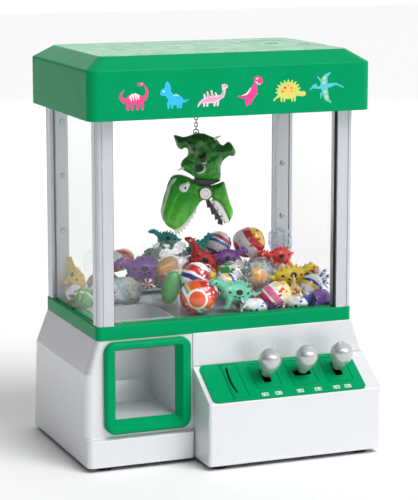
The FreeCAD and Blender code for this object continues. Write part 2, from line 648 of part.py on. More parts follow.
def arc_steps(radius, start, turn, steps):
    """(inset, climb) steps along an arc that starts at an angle from the upright and turns inward."""
    points = []
    for i in range(steps + 1):
        a = math.radians(start + turn * i / steps)
        points.append((radius * (math.cos(math.radians(start)) - math.cos(a)),
                       radius * (math.sin(a) - math.sin(math.radians(start)))))
    return points


def roof_outside():
    """The roof's skin: upright walls, a wide bevel, and rounded edges below and above the bevel."""
    rise = HEIGHT - ROOF_BEVEL_Z
    lean = math.degrees(math.atan2(ROOF_BEVEL_IN, rise))
    edges = [(0.0, EAVE_Z, 9.0)]
    r = ROOF_EDGE_R
    low = r * math.tan(math.radians(lean / 2))
    for inset, climb in arc_steps(r, 0.0, lean, 4):
        edges.append((inset, ROOF_BEVEL_Z - low + climb, 9.0))
    high = r * math.tan(math.radians((90 - lean) / 2))
    slope_in = high * math.sin(math.radians(lean))
    slope_down = high * math.cos(math.radians(lean))
    for inset, climb in arc_steps(r, lean, 90 - lean, 3):
        edges.append((ROOF_BEVEL_IN - slope_in + inset, HEIGHT - slope_down + climb, 7.0))
    wires = [round_rect(-ROOF_HALF + i, ROOF_HALF - i, ROOF_FRONT + i, ROOF_BACK - i, z, corner)
             for i, z, corner in edges]
    return Part.makeLoft(wires, True, True)


def roof_shell():
    shell = roof_outside()
    room = round_loft(roof_levels(WALL, EAVE_Z - 1, HEIGHT - WALL))
    x0, x1 = HATCH_X
    y0, y1 = HATCH_Y
    mouth = round_loft([(x0, x1, y0, y1 + 2.4, z, 1.5) for z in (HEIGHT - 6, HEIGHT + 1)])
    bosses = [box(x0 - 4, x0 - 0.1, y1 - 3, y1 + 2.8, HEIGHT - 5.4, HEIGHT - 1),
              box(x1 + 0.1, x1 + 4, y1 - 3, y1 + 2.8, HEIGHT - 5.4, HEIGHT - 1)]
    ledge = fuse([box(x0 + 4, x1 - 4, y0 - 2, y0 + 2.2, HEIGHT - 5.2, HEIGHT - 3.1),
                  box(x0 + 4, x1 - 4, y0 - 2, y0 - 0.1, HEIGHT - 3.1, HEIGHT - 2)])
    bore = hatch_pin()
    top = fuse([cut(shell, [room])] + bosses)
    return fuse([cut(top, [mouth, bore]), ledge])


def roof_hatch():
    """The lid in the roof: a flat panel, rounded where it turns about its pin."""
    x0, x1 = HATCH_X
    y0, y1 = HATCH_Y
    lid = round_loft([(x0 + 0.4, x1 - 0.4, y0 + 0.4, y1, z, 1.2) for z in (HEIGHT - 2.8, HEIGHT)])
    barrel = rod(x0 + 0.4, y1, HATCH_PIN_Z, X_AXIS, 1.9, x1 - x0 - 0.8)
    trim = box(x0 - 1, x1 + 1, y1 - 0.01, y1 + 5, HEIGHT - 3, HEIGHT + 1)
    bore = rod(x0, y1, HATCH_PIN_Z, X_AXIS, HATCH_PIN_RADIUS + RUN_FIT, x1 - x0)
    notches = [round_loft([(x - 6.5, x + 6.5, y - 3, y + 3, z, 2.5) for z in (HEIGHT - 1.5, HEIGHT + 1)])
               for x, y in ((x0 + 17, y0 + 31), (x0 + 43, y0 + 17))]
    return cut(fuse([lid.cut(trim), barrel]), [bore] + notches)


def hatch_pin():
    x0, x1 = HATCH_X
    return rod(x0 - HATCH_PIN_END, HATCH_Y[1], HATCH_PIN_Z, X_AXIS, HATCH_PIN_RADIUS,
               x1 - x0 + 2 * HATCH_PIN_END)


def roof_tray():
    plate = round_loft([(-ROOF_HALF + 2.7, ROOF_HALF - 2.7, ROOF_FRONT + 2.7, ROOF_BACK - 2.7, z, 6)
                        for z in (CEILING_Z, RAIL_Z)])
    opening = round_loft([(-106, 106, -44, 72, z, 3) for z in (CEILING_Z - 1, RAIL_Z + 1)])
    return cut(plate, [opening] + ring_slots(CEILING_Z - 1, CEILING_Z + 2, 0.1))


# ---------------------------------------------------------------- crane
def bridge_rail():
    """The right-hand rail: a foot, a rib for the bridge's shoe and a rack."""
    y0, y1 = RAIL_Y
    foot_top = RAIL_Z + 2.2
    foot = box(RAIL_FOOT_X[0], RAIL_FOOT_X[1], y0, y1, RAIL_Z, foot_top)
    rib = box(RAIL_RIB_X[0], RAIL_RIB_X[1], y0, y1, foot_top, RAIL_RIB_TOP_Z)
    teeth = rack_outline(y0, y1, CRANE_Y + SHAFT_DY, RAIL_RACK_Z, foot_top)
    rack = side_prism(teeth, RACK_X[0], RACK_X[1])
    return fuse([foot, rib, rack])


def bridge_frame():
    """Two shoes that ride on the rails, joined by two beams; the front beam carries a rack."""
    shoe_wide = SHOE_X[1] - SHOE_X[0]
    solids = []
    for sign in (-1, 1):
        x0 = SHOE_X[0] if sign > 0 else -SHOE_X[1]
        shoe = box(x0, x0 + shoe_wide, CRANE_Y - 17, CRANE_Y + 26, RAIL_Z + 2.7, BEAM_TOP_Z)
        rib_x = sign * (RAIL_RIB_X[0] + RAIL_RIB_X[1]) / 2
        groove = box(rib_x - 1.65, rib_x + 1.65, CRANE_Y - 18, CRANE_Y + 27, RAIL_Z + 2,
                     RAIL_RIB_TOP_Z + 0.2)
        bore = rod(x0 - 1, CRANE_Y + SHAFT_DY, SHAFT_Z, X_AXIS, SHAFT_RADIUS + RUN_FIT, shoe_wide + 2)
        solids.append(cut(shoe, [groove, bore]))
    near, far = BEAM_DY
    half = BEAM_HALF
    z0, z1 = BEAM_GROOVE_Z
    rear = box(-half, half, CRANE_Y + near, CRANE_Y + far, BEAM_Z, BEAM_TOP_Z)
    rear_groove = box(1 - half, half - 1, CRANE_Y + near - 1, CRANE_Y + near + 2, z0, z1)
    teeth = rack_outline(-half, half, CRANE_X + TROLLEY_GEAR_DX, BEAM_RACK_Z, BEAM_Z)
    front = prism([V(x, CRANE_Y - far, z) for x, z in teeth], V(0, far - near, 0))
    front_groove = box(1 - half, half - 1, CRANE_Y - near - 2, CRANE_Y - near + 1, z0, z1)
    return fuse(solids + [rear.cut(rear_groove), front.cut(front_groove)])


def bridge_motor():
    y = CRANE_Y + BEAM_DY[1]
    gearbox = box(-105.9, -96, y, y + 10, BEAM_Z - 1, 353.5)
    can = rod(-96, CRANE_Y + SHAFT_DY + 1, 345, X_AXIS, 8.5, 30)
    bore = rod(-107, CRANE_Y + SHAFT_DY, SHAFT_Z, X_AXIS, SHAFT_RADIUS + RUN_FIT, 12)
    return cut(fuse([gearbox, can]), [bore])


def drive_shaft():
    y = CRANE_Y + SHAFT_DY
    shaft = rod(-SHAFT_HALF, y, SHAFT_Z, X_AXIS, SHAFT_RADIUS, 2 * SHAFT_HALF)
    rack_x = (RACK_X[0] + RACK_X[1]) / 2 - 0.1
    return fuse([shaft] + [gear(x, y, SHAFT_Z, X_AXIS, 4.4) for x in (-rack_x, rack_x)])


def trolley_chassis():
    """An open carriage between the beams: a floor, two side plates, and lugs in the beams' grooves."""
    x, y = CRANE_X, CRANE_Y
    half = TROLLEY_HALF_Y
    z0, z1 = TROLLEY_FLOOR_Z
    floor = box(x - 20, x + 20, y - half, y + half, z0, z1)
    front = box(x - 19, x + 19, y - half, y - half + 2, z1, TROLLEY_TOP_Z)
    rear = box(x - 19, x + 19, y + half - 2, y + half, z1, TROLLEY_TOP_Z)
    lug_z = (BEAM_GROOVE_Z[0] + 0.2, BEAM_GROOVE_Z[1] - 0.2)
    lugs = [box(x - 18, x + 18, y - half - 2, y - half, lug_z[0], lug_z[1]),
            box(x - 18, x + 18, y + half, y + half + 2, lug_z[0], lug_z[1])]
    guide = rod(x, y, z0 - 4, Z_AXIS, 5.5, 4)
    way = rod(x, y, z0 - 5, Z_AXIS, 3.2, 9)
    bores = [rod(x + dx, y - half - 0.2, z, Y_AXIS, PINION_SHAFT_RADIUS + RUN_FIT, 3)
             for dx, z in ((TROLLEY_GEAR_DX, TROLLEY_GEAR_Z), (DRUM_DX, DRUM_Z))]
    return cut(fuse([floor, front, rear, guide] + lugs), [way] + bores)


def trolley_motor():
    x = CRANE_X + TROLLEY_GEAR_DX
    can = rod(x, CRANE_Y - 6.5, TROLLEY_GEAR_Z, Y_AXIS, 7.5, 17.3)
    return can.cut(rod(x, CRANE_Y - 7, TROLLEY_GEAR_Z, Y_AXIS, PINION_SHAFT_RADIUS + RUN_FIT, 6))


def trolley_pinion():
    x = CRANE_X + TROLLEY_GEAR_DX
    rack_y = CRANE_Y - (BEAM_DY[0] + BEAM_DY[1]) / 2
    wheel = gear(x, rack_y - 0.1, TROLLEY_GEAR_Z, Y_AXIS, 3.8)
    shaft = rod(x, rack_y - 2, TROLLEY_GEAR_Z, Y_AXIS, PINION_SHAFT_RADIUS, 14.5)
    return fuse([wheel, shaft])


def hoist_motor():
    x = CRANE_X + DRUM_DX
    gearbox = box(x - 7, x + 8, CRANE_Y + 5, CRANE_Y + TROLLEY_HALF_Y - 2, 333, 349)
    return gearbox.cut(rod(x, CRANE_Y + 4, DRUM_Z, Y_AXIS, PINION_SHAFT_RADIUS + RUN_FIT, 5))


def winch_drum():
    x = CRANE_X + DRUM_DX
    shaft = rod(x, CRANE_Y - 12.6, DRUM_Z, Y_AXIS, PINION_SHAFT_RADIUS, 21)
    barrel = rod(x, CRANE_Y - 3.6, DRUM_Z, Y_AXIS, 6.5, 7.2)
    rims = [rod(x, CRANE_Y + dy, DRUM_Z, Y_AXIS, 8.8, 1.4) for dy in (-4.8, 3.4)]
    return fuse([shaft, barrel] + rims)


# ---------------------------------------------------------------- claw
BODY_OUTLINE = ((-20.5, 286.3), (-17.8, 277.3), (-15.0, 273.0), (-9.8, 272.6), (-7.5, 267.1),
                (-12.1, 263.2), (-15.0, 255.5), (-10.5, 251.6), (-2.8, 247.4), (23.3, 245.4),
                (23.3, 253.8), (25.2, 260.8), (34.6, 264.3), (35.6, 270.2), (29.4, 278.0),
                (22.5, 278.5), (14.8, 283.6), (4.0, 285.8), (-9.8, 284.7))
UPPER_OUTLINE = ((3.9, 226.4), (0.2, 240.0), (-5.9, 246.4), (-12.1, 249.4), (-19.7, 249.0),
                 (-24.3, 245.1), (-27.0, 236.5), (-32.8, 219.2), (-33.0, 213.0), (-30.5, 206.7),
                 (-27.4, 200.8), (-19.7, 198.4), (-12.1, 203.5), (-6.7, 210.8), (0.2, 221.5))
LOWER_OUTLINE = ((13.0, 226.0), (13.5, 239.5), (24.0, 243.6), (26.7, 238.1), (30.2, 227.1),
                 (34.0, 213.0), (31.0, 206.2), (28.0, 209.0), (24.0, 218.5), (17.5, 223.5))
GRIP_OUTLINE = ((8.2, 228.4), (9.5, 224.0), (10.2, 219.6), (12.6, 219.8), (14.4, 212.8), (16.8, 213.6),
                (17.3, 208.2), (20.0, 208.8), (19.9, 204.4), (24.4, 203.4), (24.6, 206.4),
                (19.4, 215.6), (14.6, 223.0), (12.6, 225.4), (12.2, 228.4))
GUM_OUTLINE = ((14.9, 223.2), (19.7, 215.8), (24.9, 206.6), (30.6, 206.0), (27.6, 209.0),
               (23.7, 218.3), (17.3, 223.2))


def pivot_rod(radius, w0, w1):
    return rod(PIVOT_U, w0, PIVOT_Z, Y_AXIS, radius, w1 - w0)


def claw_body():
    shell = claw_plate(BODY_OUTLINE, -12.5, 12.5)
    cavity = box(-3.2, 17.2, -8.2, 8.2, 252.0, 274.0)
    lug = box(-0.8, 0.8, -2.4, 2.4, 284, 289.2)
    eye = rod(-1, 0, 287.4, X_AXIS, 1.0, 2)
    slot = box(-0.8, 0.8, -2.4, 2.4, 280, 284)
    return on_claw(cut(fuse([shell, lug, slot]), [cavity, eye]))


def claw_yoke():
    """The black fork between the body and the jaws; the pivot runs through its tongue."""
    block = claw_plate(((-2.2, 247.0), (22.6, 245.1), (15.0, 241.6), (1.6, 241.6)), -8.0, 8.0)
    tongue = claw_plate(((3.5, 242.4), (13.9, 242.4), (13.9, PIVOT_Z), (3.5, PIVOT_Z)), -5.6, 5.6)
    nose = pivot_rod(5.2, -5.6, 5.6)
    return on_claw(cut(fuse([block, tongue, nose]), [pivot_rod(PIVOT_R, -10, 10)]))


def pivot_pin():
    pin = pivot_rod(PIVOT_R, -12.4, 12.4)
    heads = [pivot_rod(5.2, -14.0, -12.4), pivot_rod(5.2, 12.4, 14.0)]
    return on_claw(fuse([pin] + heads))


def jaw_actuator():
    return on_claw(fuse([rod(7, 0, 253.0, Z_AXIS, 7.0, 18), rod(7, 0, 252.0, Z_AXIS, 1.8, 1.2)]))


def upper_jaw():
    shell = claw_plate(UPPER_OUTLINE, -11.2, 11.2)
    shell = fuse([shell, pivot_rod(LUG_R, -11.2, 11.2)])
    well = claw_plate(((PIVOT_U, PIVOT_Z + 8), (-4.0, 232), (-24.0, 214.0), (-22.0, 203.5),
                       (-14.0, 195.0), (12.0, 222.0), (18.0, 230.0)), -8.6, 8.6)
    bore = fuse([pivot_rod(PIVOT_R + RUN_FIT, -15, 15), pivot_rod(LUG_R + 0.6, -8.6, 8.6)])
    notch = claw_plate(((2.9, 241.9), (14.5, 241.9), (14.5, PIVOT_Z), (2.9, PIVOT_Z)), -8.6, 8.6)
    return on_claw(cut(shell, [well, bore, notch]))


def upper_teeth():
    """Two saw-toothed strips along the cheeks of the upper jaw, pointing into the mouth."""
    strips = []
    start = (1.6, 221.2)
    end = (-16.6, 197.6)
    count = 7
    du = (end[0] - start[0]) / count
    dz = (end[1] - start[1]) / count
    for w0, w1 in ((-11.0, -8.8), (8.8, 11.0)):
        outline = []
        for i in range(count):
            u = start[0] + du * i
            z = start[1] + dz * i
            outline += [(u, z), (u + du / 2 + 2.7, z + dz / 2 - 2.1)]
        outline += [end, (end[0] - 2.2, end[1] + 2.6), (start[0] - 2.4, start[1] + 1.9)]
        strips.append(claw_plate(outline, w0, w1))
    teeth = Part.makeCompound(strips)
    keep_off = Part.makeCompound([claw_plate(UPPER_OUTLINE, -12, 12)])
    return on_claw(teeth.cut(keep_off))


def lower_jaw():
    shell = claw_plate(LOWER_OUTLINE, -8.2, 8.2)
    lugs = [pivot_rod(LUG_R - 0.6, 5.9, 8.2), pivot_rod(LUG_R - 0.6, -8.2, -5.9)]
    room = [pivot_rod(LUG_R + 0.6, -5.8, 5.8),
            claw_plate(((2.0, 242.2), (16.2, 241.4), (14.8, 230.0), (2.0, 230.0)), -5.8, 5.8)]
    bore = pivot_rod(PIVOT_R + RUN_FIT, -15, 15)
    top = claw_plate(((-2.0, 239.6), (16.0, 239.6), (25.0, 244.8), (25.0, 250.0), (-2.0, 250.0)), -9, 9)
    return on_claw(cut(fuse([cut(shell, room + [top])] + lugs), [bore]))


def jaw_grip():
    return on_claw(cut(claw_plate(GRIP_OUTLINE, -5.4, 5.4), [pivot_rod(LUG_R + 0.4, -6, 6)]))


def lower_teeth():
    return on_claw(cut(claw_plate(GUM_OUTLINE, -6.6, 6.6), [pivot_rod(LUG_R + 0.6, -7, 7)]))


def chain_link(z, turned):
    """An oval link standing on its end, centred at height z."""
    r = 1.4
    half = 0.6
    wire_r = 0.4
    pieces = [rod(sign * r, 0, z - half, Z_AXIS, wire_r, 2 * half) for sign in (-1, 1)]
    for end in (-1, 1):
        ring = Part.makeTorus(r, wire_r, V(0, 0, z + end * half), Y_AXIS)
        keep = box(-3, 3, -1, 1, z + half, z + 4) if end > 0 else box(-3, 3, -1, 1, z - 4, z - half)
        pieces.append(ring.common(keep))
    link = fuse(pieces)
    if turned:
        link.rotate(V(0, 0, 0), Z_AXIS, 90)
    return link


def hoist_chain():
    ring = Part.makeTorus(2.5, 0.5, V(0, 0, RING_Z), Y_AXIS)
    links = [ring]
    z = RING_Z + 2.5 + 1.05
    turned = True
    while z < CHAIN_TOP_Z:
        links.append(chain_link(z, turned))
        turned = not turned
        z += LINK_PITCH
    return on_claw(Part.makeCompound(links))


# ---------------------------------------------------------------- small controls
def power_switch():
    """A slider in the rear wall with a ridged thumb piece; it travels along X."""
    x = SWITCH_X
    y = BASE_BACK_FOOT - 6
    z0, z1 = SWITCH_Z[0] + 0.6, SWITCH_Z[1] - 0.6
    block = box(x - 10, x + 11, y - 2.6, y, SWITCH_Z[0] - 3, SWITCH_Z[1] + 3)
    thumb = box(x - 2.5, x + 2.5, y, y + 4.6, z0, z1)
    ridges = [box(x - 2.5 + 1.4 * i, x - 1.7 + 1.4 * i, y + 4.6, y + 5.2, z0, z1) for i in range(4)]
    return fuse([block, thumb] + ridges)


# ---------------------------------------------------------------- loose prizes
# (x, y, height of the centre, heading in degrees) of each rubber dinosaur's body
DINOSAURS = ((-72, 36, 142, 15), (-20, 66, 172, -20), (8, 40, 152, 25), (44, 40, 153, -10),
             (84, 38, 153, 12), (84, -14, 150, -8), (12, -30, 150, 5), (-86, 66, 160, 10))
# (x, y, height of the centre, radius) of each wrapped candy or ball
CANDIES = ((-28, 34, 141, 12), (-28, 3, 141, 12.5), (-27, -34, 142.5, 13.5), (42, 68, 169, 13),
           (72, 66, 170, 13.5), (12, 68, 168, 12), (50, -34, 140.5, 12.5), (46, 4, 141, 12.5),
           (98, -34, 140, 11.5), (100, 12, 140, 11.5), (-86, 62, 139, 11), (-46, 56, 142, 13),
           (-16, 62, 140, 12), (14, 66, 141, 12.5), (44, 66, 141, 12.5), (74, 64, 141, 12.5),
           (96, 60, 162, 10), (8, 6, 140, 12), (74, 12, 140, 12))


def prize_dinosaurs():
    bodies = []
    for x, y, z, heading in DINOSAURS:
        body = Part.makeSphere(1.0)
        scale = FreeCAD.Matrix()
        scale.scale(19.0, 8.0, 8.5)
        body = body.transformGeometry(scale)
        body.rotate(V(0, 0, 0), Z_AXIS, heading)
        body.translate(V(x, y, z))
        bodies.append(body)
    return Part.makeCompound(bodies)


def prize_candies():
    return Part.makeCompound([Part.makeSphere(r, V(x, y, z)) for x, y, z, r in CANDIES])


# ---------------------------------------------------------------- assembly
def build():
    for maker in (base_housing, base_plate, base_screws, feet, battery_cover, batteries, circuit_board,
                  speaker, console_housing, control_plate, joystick_housings, coin_chute, coin_lever,
                  base_frame, cabin_floor, prize_chute, prize_door_frame, chute_guard, retainer_screws,
                  roof_shell, roof_hatch, hatch_pin, roof_tray, bridge_frame, bridge_motor, drive_shaft,
                  trolley_chassis, trolley_motor, trolley_pinion, hoist_motor, winch_drum, claw_body,
                  claw_yoke, pivot_pin, jaw_actuator, upper_jaw, upper_teeth, lower_jaw, jaw_grip,
                  lower_teeth, hoist_chain, power_switch, prize_dinosaurs, prize_candies):
        nodes[maker.__name__] = maker()
    for i, name in enumerate(("left", "middle", "right")):
        nodes["lever_" + name] = lever(i)
        nodes["knob_" + name] = knob(i)
    for front, name in ((True, "front"), (False, "rear")):
        post = corner_post(front)
        nodes["post_" + name + "_right"] = post
        nodes["post_" + name + "_left"] = mirrored(post)
    retainer = panel_retainer()
    nodes["panel_retainers"] = Part.makeCompound([retainer, mirrored(retainer)])
    front, back, right = windows()
    nodes["window_front"] = front
    nodes["window_rear"] = back
    nodes["window_right"] = right
    nodes["window_left"] = mirrored(right)
    rail = bridge_rail()
    nodes["bridge_rails"] = Part.makeCompound([rail, mirrored(rail)])


build()
os.makedirs("parts", exist_ok=True)
for name, shape in nodes.items():
    if not shape.isValid():
        print("invalid:", name)
    shape.exportStep("parts/" + name + ".step")
print(len(nodes), "nodes")
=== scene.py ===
import bmesh
import bpy
import json
import math
from mathutils import Matrix, Vector, noise
from mathutils.geometry import delaunay_2d_cdt


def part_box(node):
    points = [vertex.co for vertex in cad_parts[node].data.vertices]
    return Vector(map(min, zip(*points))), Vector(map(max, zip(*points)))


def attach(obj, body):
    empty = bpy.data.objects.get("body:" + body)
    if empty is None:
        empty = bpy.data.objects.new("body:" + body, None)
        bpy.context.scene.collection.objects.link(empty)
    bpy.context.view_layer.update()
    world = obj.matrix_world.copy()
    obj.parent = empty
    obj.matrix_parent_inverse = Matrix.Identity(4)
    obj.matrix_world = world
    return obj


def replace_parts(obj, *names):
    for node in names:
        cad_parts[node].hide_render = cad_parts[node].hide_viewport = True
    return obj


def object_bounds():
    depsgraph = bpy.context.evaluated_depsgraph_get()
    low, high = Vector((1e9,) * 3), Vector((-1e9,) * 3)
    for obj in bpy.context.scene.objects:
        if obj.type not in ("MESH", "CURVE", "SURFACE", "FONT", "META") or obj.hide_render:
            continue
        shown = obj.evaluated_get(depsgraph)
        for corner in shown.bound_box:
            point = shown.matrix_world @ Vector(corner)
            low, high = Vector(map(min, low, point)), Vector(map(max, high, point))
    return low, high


# The looks of a desktop claw crane machine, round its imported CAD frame. Metres; X right, Y back, Z up.

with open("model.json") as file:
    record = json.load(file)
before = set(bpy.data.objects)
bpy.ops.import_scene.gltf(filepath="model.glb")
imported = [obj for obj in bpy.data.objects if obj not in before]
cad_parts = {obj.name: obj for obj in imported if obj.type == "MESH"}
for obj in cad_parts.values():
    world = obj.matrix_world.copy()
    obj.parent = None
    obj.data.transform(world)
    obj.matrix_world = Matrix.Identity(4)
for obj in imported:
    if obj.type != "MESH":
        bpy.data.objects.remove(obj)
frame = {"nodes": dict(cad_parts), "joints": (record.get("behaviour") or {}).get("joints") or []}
cad_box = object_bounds()

MM = 0.001
NODES = frame["nodes"]
JOINTS = {j["name"]: j for j in frame["joints"]}
SCENE = bpy.context.scene
X_AXIS = Vector((1, 0, 0))
Z_AXIS = Vector((0, 0, 1))

# the claw is drawn in its own plane, in mm: u to the right, w through it, z up, about its pivot
PIVOT = Vector(JOINTS["upper_jaw_hinge"]["pos_m"])
CLAW_W = -Vector(JOINTS["upper_jaw_hinge"]["axis"]).normalized()
CLAW_U = CLAW_W.cross(Z_AXIS)
PIVOT_U = 8.7
PIVOT_Z = PIVOT.z / MM

FRONT_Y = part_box("roof_shell")[0].y


def link(obj):
    SCENE.collection.objects.link(obj)
    return obj


# ---------------------------------------------------------------- shader helpers
def srgb(red, green, blue, alpha=1.0):
    """A colour given in 0-255 steps, as the renderer's linear values."""
    values = []
    for v in (red, green, blue):
        v /= 255
        values.append(v / 12.92 if v <= 0.04045 else ((v + 0.055) / 1.055) ** 2.4)
    return (*values, alpha)


def feed(tree, made, inputs):
    """Set a node's inputs, each to a value or to another node's output."""
    for name, value in inputs.items():
        if isinstance(value, bpy.types.NodeSocket):
            tree.links.new(value, made.inputs[name])
        else:
            made.inputs[name].default_value = value
    return made


def node(tree, kind, inputs=None, **settings):
    made = tree.nodes.new("ShaderNode" + kind)
    for name, value in settings.items():
        setattr(made, name, value)
    return feed(tree, made, inputs or {})


def start_material(name):
    material = bpy.data.materials.new(name)
    material.use_nodes = True
    tree = material.node_tree
    tree.nodes.clear()
    shader = node(tree, "BsdfPrincipled")
    node(tree, "OutputMaterial", {"Surface": shader.outputs[0]})
    return material, tree, shader


def object_place(tree, stretch=(1, 1, 1)):
    place = node(tree, "TexCoord").outputs["Object"]
    return node(tree, "Mapping", {"Vector": place, "Scale": stretch}).outputs[0]


def object_axes(tree):
    """The X, Y and Z of a place on the object, as outputs."""
    return node(tree, "SeparateXYZ", {0: node(tree, "TexCoord").outputs["Object"]}).outputs


def grain(tree, scale, detail=3.0, stretch=(1, 1, 1), rough=0.5):
    place = object_place(tree, stretch)
    made = node(tree, "TexNoise", {"Vector": place, "Scale": scale, "Detail": detail, "Roughness": rough})
    return made.outputs[0]


def cell_edges(tree, scale):
    """How far a place is from the nearest edge of a pattern of cells."""
    made = node(tree, "TexVoronoi", {"Vector": object_place(tree), "Scale": scale},
                feature="DISTANCE_TO_EDGE")
    return made.outputs["Distance"]


def remap(tree, value, low, high, to_low, to_high, smooth=False):
    kind = "SMOOTHSTEP" if smooth else "LINEAR"
    made = node(tree, "MapRange", {"Value": value, 1: low, 2: high, 3: to_low, 4: to_high},
                interpolation_type=kind)
    return made.outputs[0]


def mix_colour(tree, factor, first, second, kind="MIX"):
    made = node(tree, "Mix", {0: factor, 6: first, 7: second}, data_type="RGBA", blend_type=kind)
    return made.outputs[2]


def calc(tree, operation, first, second=0.0):
    return node(tree, "Math", {0: first, 1: second}, operation=operation).outputs[0]


def bump(tree, height, strength, distance, normal=None):
    inputs = {"Height": height, "Strength": strength, "Distance": distance}
    if normal is not None:
        inputs["Normal"] = normal
    return node(tree, "Bump", inputs).outputs[0]


def shade(colour, by):
    return tuple(min(1.0, c * by) for c in colour[:3]) + (1.0,)


def spotted(tree, base, low, high, black):
    """A colour with dark spots painted where the mesh's spot attribute is high."""
    mark = node(tree, "Attribute", attribute_name="spot").outputs["Fac"]
    return mix_colour(tree, remap(tree, mark, low, high, 0.0, 1.0), base, black)


def plastic(name, colour, rough=0.3, edge=0.0, grain_size=0.0009, grain_depth=0.00002, cloud=0.10,
            coat=0.0, metal=0.0, streak=(1, 1, 1), edge_wear_and_highlight=0.0, deep=0.0, flake=0.0, shine=0.5):
    """Moulded plastic: fine grain, slow colour clouds, uneven gloss, rounded edges paled as wear and as
    painted highlight.
    """
    material, tree, shader = start_material(name)
    slow = grain(tree, 28, 4, streak)
    fine = grain(tree, 1 / grain_size, 2, streak)
    base = mix_colour(tree, slow, shade(colour, 1 - cloud), shade(colour, 1 + cloud))
    if flake:
        sparkle = node(tree, "TexVoronoi", {"Vector": object_place(tree), "Scale": 2600.0})
        spread = remap(tree, sparkle.outputs["Color"], 0.2, 0.9, 1 - flake, 1 + flake)
        base = mix_colour(tree, 1.0, base, spread, "MULTIPLY")
    rounded = None
    if edge:
        rounded = node(tree, "Bevel", {"Radius": edge}, samples=6).outputs[0]
    # edges lightened in patches: partly wear, partly a painted highlight along the edges
    if edge and edge_wear_and_highlight:
        flat = node(tree, "NewGeometry").outputs["Normal"]
        turn = node(tree, "VectorMath", {0: rounded, 1: flat}, operation="DOT_PRODUCT").outputs["Value"]
        wear_and_highlight_mask = calc(tree, "MULTIPLY", remap(tree, turn, 0.97, 0.80, 0.0, edge_wear_and_highlight), grain(tree, 260, 3))
        base = mix_colour(tree, wear_and_highlight_mask, base, shade(colour, 1.0 + 2.2 * edge_wear_and_highlight))
    feed(tree, shader, {
        "Base Color": base,
        "Roughness": remap(tree, grain(tree, 75, 5, streak), 0.3, 0.7, rough * 0.82, rough * 1.2),
        "Normal": bump(tree, fine, 0.5, grain_depth, rounded),
        "Metallic": metal, "Specular IOR Level": shine, "Coat Weight": coat, "Coat Roughness": 0.08})
    if deep:
        feed(tree, shader, {"Subsurface Weight": deep, "Subsurface Radius": (0.004, 0.006, 0.002),
                            "Subsurface Scale": 0.6})
    return material


def steel(name, colour, rough, streak=(1, 1, 14), dirt=0.25):
    """Plated metal with fine brush marks and dull patches."""
    material, tree, shader = start_material(name)
    brushed = grain(tree, 700, 4, streak)
    dull = remap(tree, grain(tree, 120, 5), 0.45, 0.75, 0.0, dirt)
    feed(tree, shader, {
        "Base Color": mix_colour(tree, dull, colour, shade(colour, 0.55)),
        "Roughness": remap(tree, brushed, 0.2, 0.8, rough * 0.7, rough * 1.4),
        "Normal": bump(tree, brushed, 0.3, 0.00001), "Metallic": 1.0})
    return material


def clear_sheet(name, tint, least, most):
    """Thin clear plastic: nearly nothing face on, more mirror-like at a slant, faint scuffs."""
    material, tree, shader = start_material(name)
    slant = calc(tree, "POWER", node(tree, "LayerWeight", {"Blend": 0.5}).outputs["Facing"], 3.5)
    scuff = remap(tree, grain(tree, 420, 6, (1, 1, 0.25), 0.7), 0.55, 0.8, 0.0, 0.03)
    feed(tree, shader, {
        "Alpha": calc(tree, "ADD", remap(tree, slant, 0.0, 1.0, least, most), scuff),
        "Roughness": remap(tree, grain(tree, 34, 4), 0.35, 0.7, 0.03, 0.12),
        "Base Color": tint, "Specular IOR Level": 0.6})
    return material


def rubber(name, colour):
    material, tree, shader = start_material(name)
    pores = grain(tree, 1500, 3)
    dust = remap(tree, grain(tree, 90, 5), 0.45, 0.75, 0.0, 0.5)
    feed(tree, shader, {
        "Base Color": mix_colour(tree, dust, colour, shade(colour, 2.2)),
        "Roughness": remap(tree, pores, 0.2, 0.8, 0.65, 0.9),
        "Normal": bump(tree, pores, 0.6, 0.00005)})
    return material


def claw_skin(name, dark, light, low_z, high_z):
    """Glossy green that pales towards one end, with darker mottling."""
    material, tree, shader = start_material(name)
    rise = remap(tree, object_axes(tree)["Z"], low_z, high_z, 1.0, 0.0, True)
    mottle = remap(tree, grain(tree, 190, 6, rough=0.65), 0.38, 0.62, 0.0, 1.0)
    base = mix_colour(tree, rise, dark, light)
    base = mix_colour(tree, calc(tree, "MULTIPLY", mottle, 0.42), base, shade(dark, 0.45))
    scales = node(tree, "TexVoronoi", {"Vector": object_place(tree), "Scale": 330.0}).outputs["Distance"]
    feed(tree, shader, {
        "Base Color": spotted(tree, base, 0.42, 0.58, srgb(16, 20, 18)),
        "Roughness": remap(tree, mottle, 0.0, 1.0, 0.10, 0.2),
        "Normal": bump(tree, scales, 0.35, 0.0003),
        "Specular IOR Level": 0.2, "Coat Weight": 0.6, "Coat Roughness": 0.03})
    return material


def toy_skin(name, colour):
    """Soft painted rubber with dark painted spots and a faint pebble."""
    material, tree, shader = start_material(name)
    pebble = grain(tree, 900, 3)
    cloud = grain(tree, 90, 4)
    base = mix_colour(tree, cloud, shade(colour, 0.84), shade(colour, 1.14))
    feed(tree, shader, {
        "Base Color": spotted(tree, base, 0.44, 0.56, srgb(30, 24, 30)),
        "Roughness": remap(tree, cloud, 0.3, 0.7, 0.26, 0.42),
        "Normal": bump(tree, pebble, 0.35, 0.00006),
        "Subsurface Weight": 0.12, "Subsurface Radius": (0.004, 0.003, 0.003), "Subsurface Scale": 0.5,
        "Specular IOR Level": 0.3, "Coat Weight": 0.35, "Coat Roughness": 0.1})
    return material


def film_gloss(tree, shader, crinkle=0.0006):
    """The creases and shine of a film wrap."""
    small = grain(tree, 420, 4)
    height = calc(tree, "ADD", cell_edges(tree, 210.0), calc(tree, "MULTIPLY", small, 0.35))
    feed(tree, shader, {
        "Normal": bump(tree, height, 0.5, crinkle),
        "Roughness": remap(tree, small, 0.3, 0.7, 0.10, 0.28),
        "Coat Weight": 1.0, "Coat Roughness": 0.06})


